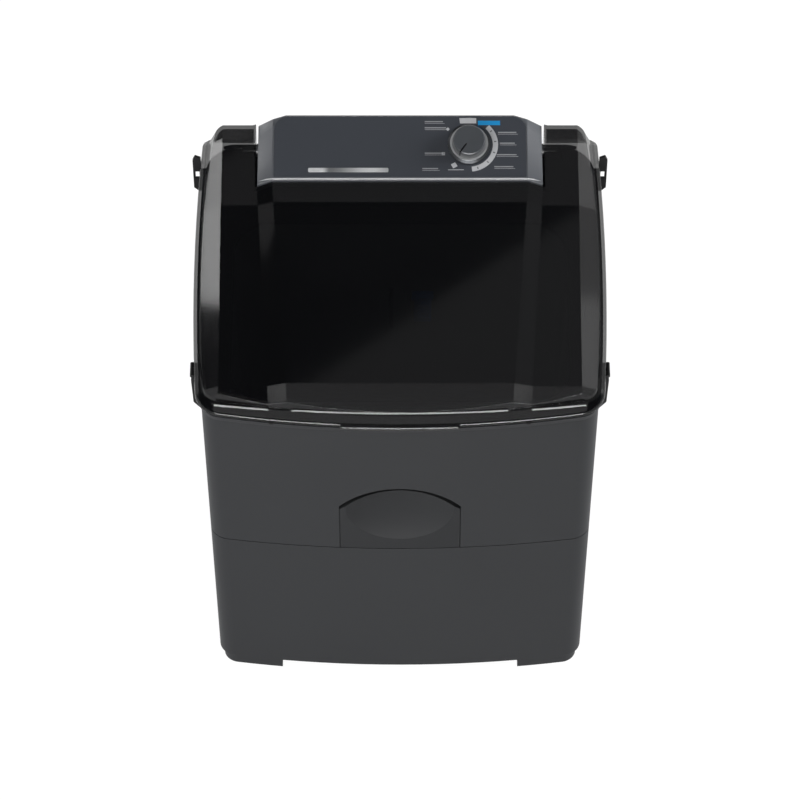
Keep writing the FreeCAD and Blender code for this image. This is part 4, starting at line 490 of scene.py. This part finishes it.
def printed_ring(u, v):
    """The pale ring with its row of dark dots, and the tab at its top."""
    du, dv = u - KNOB_ACROSS, v - KNOB_UP
    radius = (du * du + dv * dv).maths("SQRT")
    angle = dv.maths("ARCTAN2", du)
    ring = (radius > RING_INNER) * (radius < RING_OUTER) * (angle < RING_START) * (angle > -RING_END)
    step = ((angle + RING_END) / DOT_PITCH).maths("FRACT")
    dots = (abs(step - 0.5) < DOT_WIDTH) * (abs(radius - DOT_RADIUS) < DOT_HALF)
    tab = printed_bar(u, v, *TAB) * (abs(du) < TAB_LEAST + dv * TAB_FLARE)
    return ring * (1 - dots * DOT_INK) + tab


print("ring from", RING_INNER, "to", RING_OUTER)

# %% [markdown]
# All the pale prints are one ink, so their masks are added up and cut off at 1. The blue bar is a second
# ink on top, and the plate's own grain shows wherever neither is printed.

# %% Fascia
GROUND_DEEP, GROUND_PALE = (0.054, 0.060, 0.073), (0.060, 0.066, 0.080)
PALE_INK, BLUE_INK = (0.62, 0.63, 0.65), (0.016, 0.33, 0.74)
MARKS = [((0.0655, 0.0190), 0.0060, 30, 1.0), ((0.058, 0.066), 0.0034, 45, 1.0)]
MARKS += [((0.0525, 0.034), 0.0040, 0, 0.6)]  # place, size, turn in degrees and strength of the ink
BLUE_BAR = (0.0945, 0.1215, 0.0712, 0.0770)
FASCIA_GRAIN = 2600.0

fascia_finish = Finish("fascia_satin", Specular_IOR_Level=0.5)
u, v, _ = fascia_finish.axes(fascia_finish.place(FASCIA))
pebble = fascia_finish.noise(fascia_finish.place(), FASCIA_GRAIN, 2.0, 0.6)
silver = printed_ring(u, v) + printed_labels(u, v)
for at, size, turn, ink in MARKS:
    silver = silver + printed_mark(u, v, at, size, turn) * ink
silver = silver.maths("MINIMUM", 1.0)
blue = printed_bar(u, v, *BLUE_BAR)
printed = fascia_finish.mix(silver, fascia_finish.mix(pebble, GROUND_DEEP, GROUND_PALE), PALE_INK)
fascia_finish.feed("Base Color", fascia_finish.mix(blue, printed, BLUE_INK))
fascia_finish.feed("Roughness", 0.38 + (pebble - 0.5) * 0.1 - silver * 0.08)
fascia_finish.bump(pebble, 0.3, 0.00002, 0.0008)
paint(fascia_finish, "fascia")

# %% [markdown]
# ## The knob
# One turning knob sets the time. Its face is satin grey with turning marks, and a bright collar on the skirt
# frames it; the skirt's cone is dark metal and the pointer a groove filled with dark paint. Four materials
# could be given face by face, but all of them are rings about the knob's own axis, so one finish with masks
# by radius serves the knob and its skirt.

# %% Knob
FLANK_FROM, COLLAR_FROM, CONE_FROM = (0.0192, 0.0200), (0.0205, 0.0209), (0.0226, 0.0232)
FACE_DEEP, FACE_PALE = (0.067, 0.073, 0.082), (0.087, 0.094, 0.104)
FLANK_GREY, COLLAR_SILVER = (0.16, 0.165, 0.17), (0.52, 0.53, 0.54)
CONE_METAL, POINTER_BLACK = (0.045, 0.047, 0.050), (0.012, 0.012, 0.014)
TURNING_MARKS = 4200.0
POINTER_AIM = math.radians(235)  # lower left, counted from the right
POINTER_HALF, POINTER_START = 0.0010, 0.0058

knob_finish = Finish("knob_satin", Specular_IOR_Level=0.5)
x, y, _ = knob_finish.axes(knob_finish.place(KNOB))
radius = (x * x + y * y).maths("SQRT")
outward = knob_finish.node("ShaderNodeCombineXYZ", None, [radius, 0.0, 0.0])
rings = knob_finish.noise(outward, TURNING_MARKS, 2.0)
flank, collar, cone = [radius.fade(*edge) for edge in (FLANK_FROM, COLLAR_FROM, CONE_FROM)]
cos, sin = math.cos(POINTER_AIM), math.sin(POINTER_AIM)
along, aside = x * cos + y * sin, y * cos - x * sin
pointer = (abs(aside) < POINTER_HALF) * (along > POINTER_START)
face = knob_finish.mix(rings, FACE_DEEP, FACE_PALE)
face = knob_finish.mix(flank, face, FLANK_GREY)
face = knob_finish.mix(pointer, face, POINTER_BLACK)
face = knob_finish.mix(collar, face, COLLAR_SILVER)
knob_finish.feed("Base Color", knob_finish.mix(cone, face, CONE_METAL))
knob_finish.feed("Metallic", collar * 0.35 + cone * 0.65)
knob_finish.feed("Roughness", 0.34 + (rings - 0.5) * 0.2)
knob_finish.bump(rings, 0.2, 0.00003, 0.0010)
paint(knob_finish, "knob", "knob_skirt")

# %% [markdown]
# ## The floor
# The machine stands on a plain white floor. White paper under studio light is hard to keep even, so what
# the camera, a mirror or a pane of glass sees of it is mostly its own glow, and the rest keeps the shadow.

# %% Floor
FLOOR_SIZE = 30
PAPER_DEEP, PAPER_PALE = (0.84, 0.84, 0.84), (0.87, 0.87, 0.87)
PAPER_CLOUDS = 3.0
GLOW_SHARE, GLOW = 0.90, 1.09
PURE_WHITE = (1.0, 1.0, 1.0, 1.0)

bpy.ops.object.select_all(action="DESELECT")
bpy.ops.mesh.primitive_plane_add(size=FLOOR_SIZE, location=(0, 0, 0))
floor = bpy.context.object
floor.name = "studio_floor"
paper = Finish("white_paper", Roughness=0.9)
clouds = paper.noise(paper.place(), PAPER_CLOUDS)
paper.feed("Base Color", paper.mix(clouds, PAPER_DEEP, PAPER_PALE))
glow = paper.node("ShaderNodeEmission", None, {"Color": PURE_WHITE, "Strength": GLOW})
matt = Value(paper, paper.shader.outputs[0])
whole = paper.node("ShaderNodeMixShader", None, [paper.seen() * GLOW_SHARE, matt, glow])
paper.plug(whole, paper.tree.nodes["Material Output"].inputs["Surface"])
floor.data.materials.append(paper.material)
print("floor", tuple(floor.dimensions))

# %% [markdown]
# ## The room
# Around the floor stands a white wall, and overhead the room is dark. Both could be built, but a gradient by
# height in the world's colour does it without a single face. Glossy surfaces see the same room as the
# camera. For soft light all round, a small even share remains.

# %% World
WALL_ENDS = (0.40, 0.56)  # by the upward part of the line of sight
CEILING_DARK = 0.94
SOFT_LIGHT = 0.08


class Room(Finish):
    """The world's shader, written like a finish."""

    def __init__(self, name):
        self.world = bpy.data.worlds.new(name)
        self.world.use_nodes = True
        self.tree = self.world.node_tree
        self.shader = self.tree.nodes["Background"]


room = Room("studio_room")
bpy.context.scene.world = room.world
room.feed("Color", PURE_WHITE)
_, _, height = room.axes(room.node("ShaderNodeTexCoord", out="Generated"))
wall = 1.0 - height.fade(*WALL_ENDS) * CEILING_DARK
share = room.seen()
room.feed("Strength", share * wall + (1 - share) * SOFT_LIGHT)
print("room", room.world.name)

# %% [markdown]
# ## The lamps
# Two kinds of lamp stand round the machine. Soft boxes light its matt plastic, from the front left most of
# all, and stay out of reflections. Panels do the opposite: like a photographer's cards they show only in
# what is glossy. The long strip in front draws the white lines on the lid's edges and beads, and the small
# panels light its facets, bands and corners one by one. A few big lamps could do both, but then no facet
# could be set without changing the whole body.

# %% Tools for lamps
def softbox(name, spot, aim, size, power, glossy=False, soft=True, turn=0.0):
    """A rectangular lamp that looks at a point, seen in reflections, in soft light or both."""
    bpy.ops.object.select_all(action="DESELECT")
    bpy.ops.object.light_add(type="AREA", location=spot)
    lamp = bpy.context.object
    lamp.name = name
    lamp.data.shape = "RECTANGLE"
    lamp.data.size, lamp.data.size_y = size
    lamp.data.energy = power
    facing = (Vector(aim) - Vector(spot)).to_track_quat("-Z", "Y").to_matrix()
    lamp.rotation_euler = (facing @ Matrix.Rotation(math.radians(turn), 3, "Z")).to_euler()
    lamp.visible_glossy = glossy
    lamp.visible_diffuse = soft
    print(name, round(power, 2), "W")


def panel(name, spot, aim, size, glow, turn=0.0):
    """A lamp that only shows in reflections, by the brightness of its surface."""
    power = glow * math.pi * size[0] * size[1]
    softbox(name, spot, aim, size, power, glossy=True, soft=False, turn=turn)


# %% Lamps: place, what they look at, width and height, then watts or brightness
softbox("key_front", (-2.0, -1.6, 2.2), (0, 0, 0.4), (2.0, 1.1), 41)
softbox("fill_front", (-1.2, -3.0, 1.1), (0, 0, 0.35), (2.4, 1.6), 10)
softbox("fill_right", (2.2, 0.2, 1.5), (0, 0, 0.5), (1.0, 1.0), 42)
softbox("fill_back", (0.4, 3.0, 1.4), (0, 0, 0.3), (2.4, 1.6), 22)
panel("front_strip", (0, -3.2, 0.88), (0, -0.2, 0.47), (3.2, 1.55), 16.0)
panel("left_panel", (-1.80, 1.19, 1.72), (-0.23, 0.05, 0.51), (0.8, 0.55), 6.2)
panel("left_rear_panel", (-1.93, 0.66, 1.98), (-0.23, 0.15, 0.57), (0.5, 0.28), 6.2)
panel("right_panel", (1.88, 0.96, 1.72), (0.23, 0, 0.51), (0.7, 0.55), 0.9)
panel("right_front_panel", (2.0, 0.45, 1.55), (0.16, 0.14, 0.58), (0.7, 0.7), 1.0)
panel("left_band_panel", (-1.55, 0.78, 2.02), (-0.16, 0.05, 0.54), (0.9, 0.25), 0.35)
panel("right_band_panel", (1.48, 0.66, 2.16), (0.16, 0, 0.53), (0.9, 0.7), 0.32)
panel("top_panel", (0.145, 0.395, 3.0), (0.145, 0.395, 0), (1.6, 0.5), 0.26, turn=34)
panel("ledge_panel", (0, -0.88, 3.0), (0, -0.88, 0), (1.6, 0.3), 0.9)
panel("pocket_panel", (0.55, -2.59, 2.24), (0.2, -0.17, 0.47), (0.8, 0.5), 0.6)
panel("left_corner_panel", (-1.7, -2.47, 1.80), (-0.14, -0.18, 0.47), (0.5, 0.6), 0.6)
panel("right_corner_panel", (1.7, -2.47, 1.80), (0.14, -0.18, 0.47), (0.5, 0.6), 0.6)

# %% [markdown] ## The finished scene
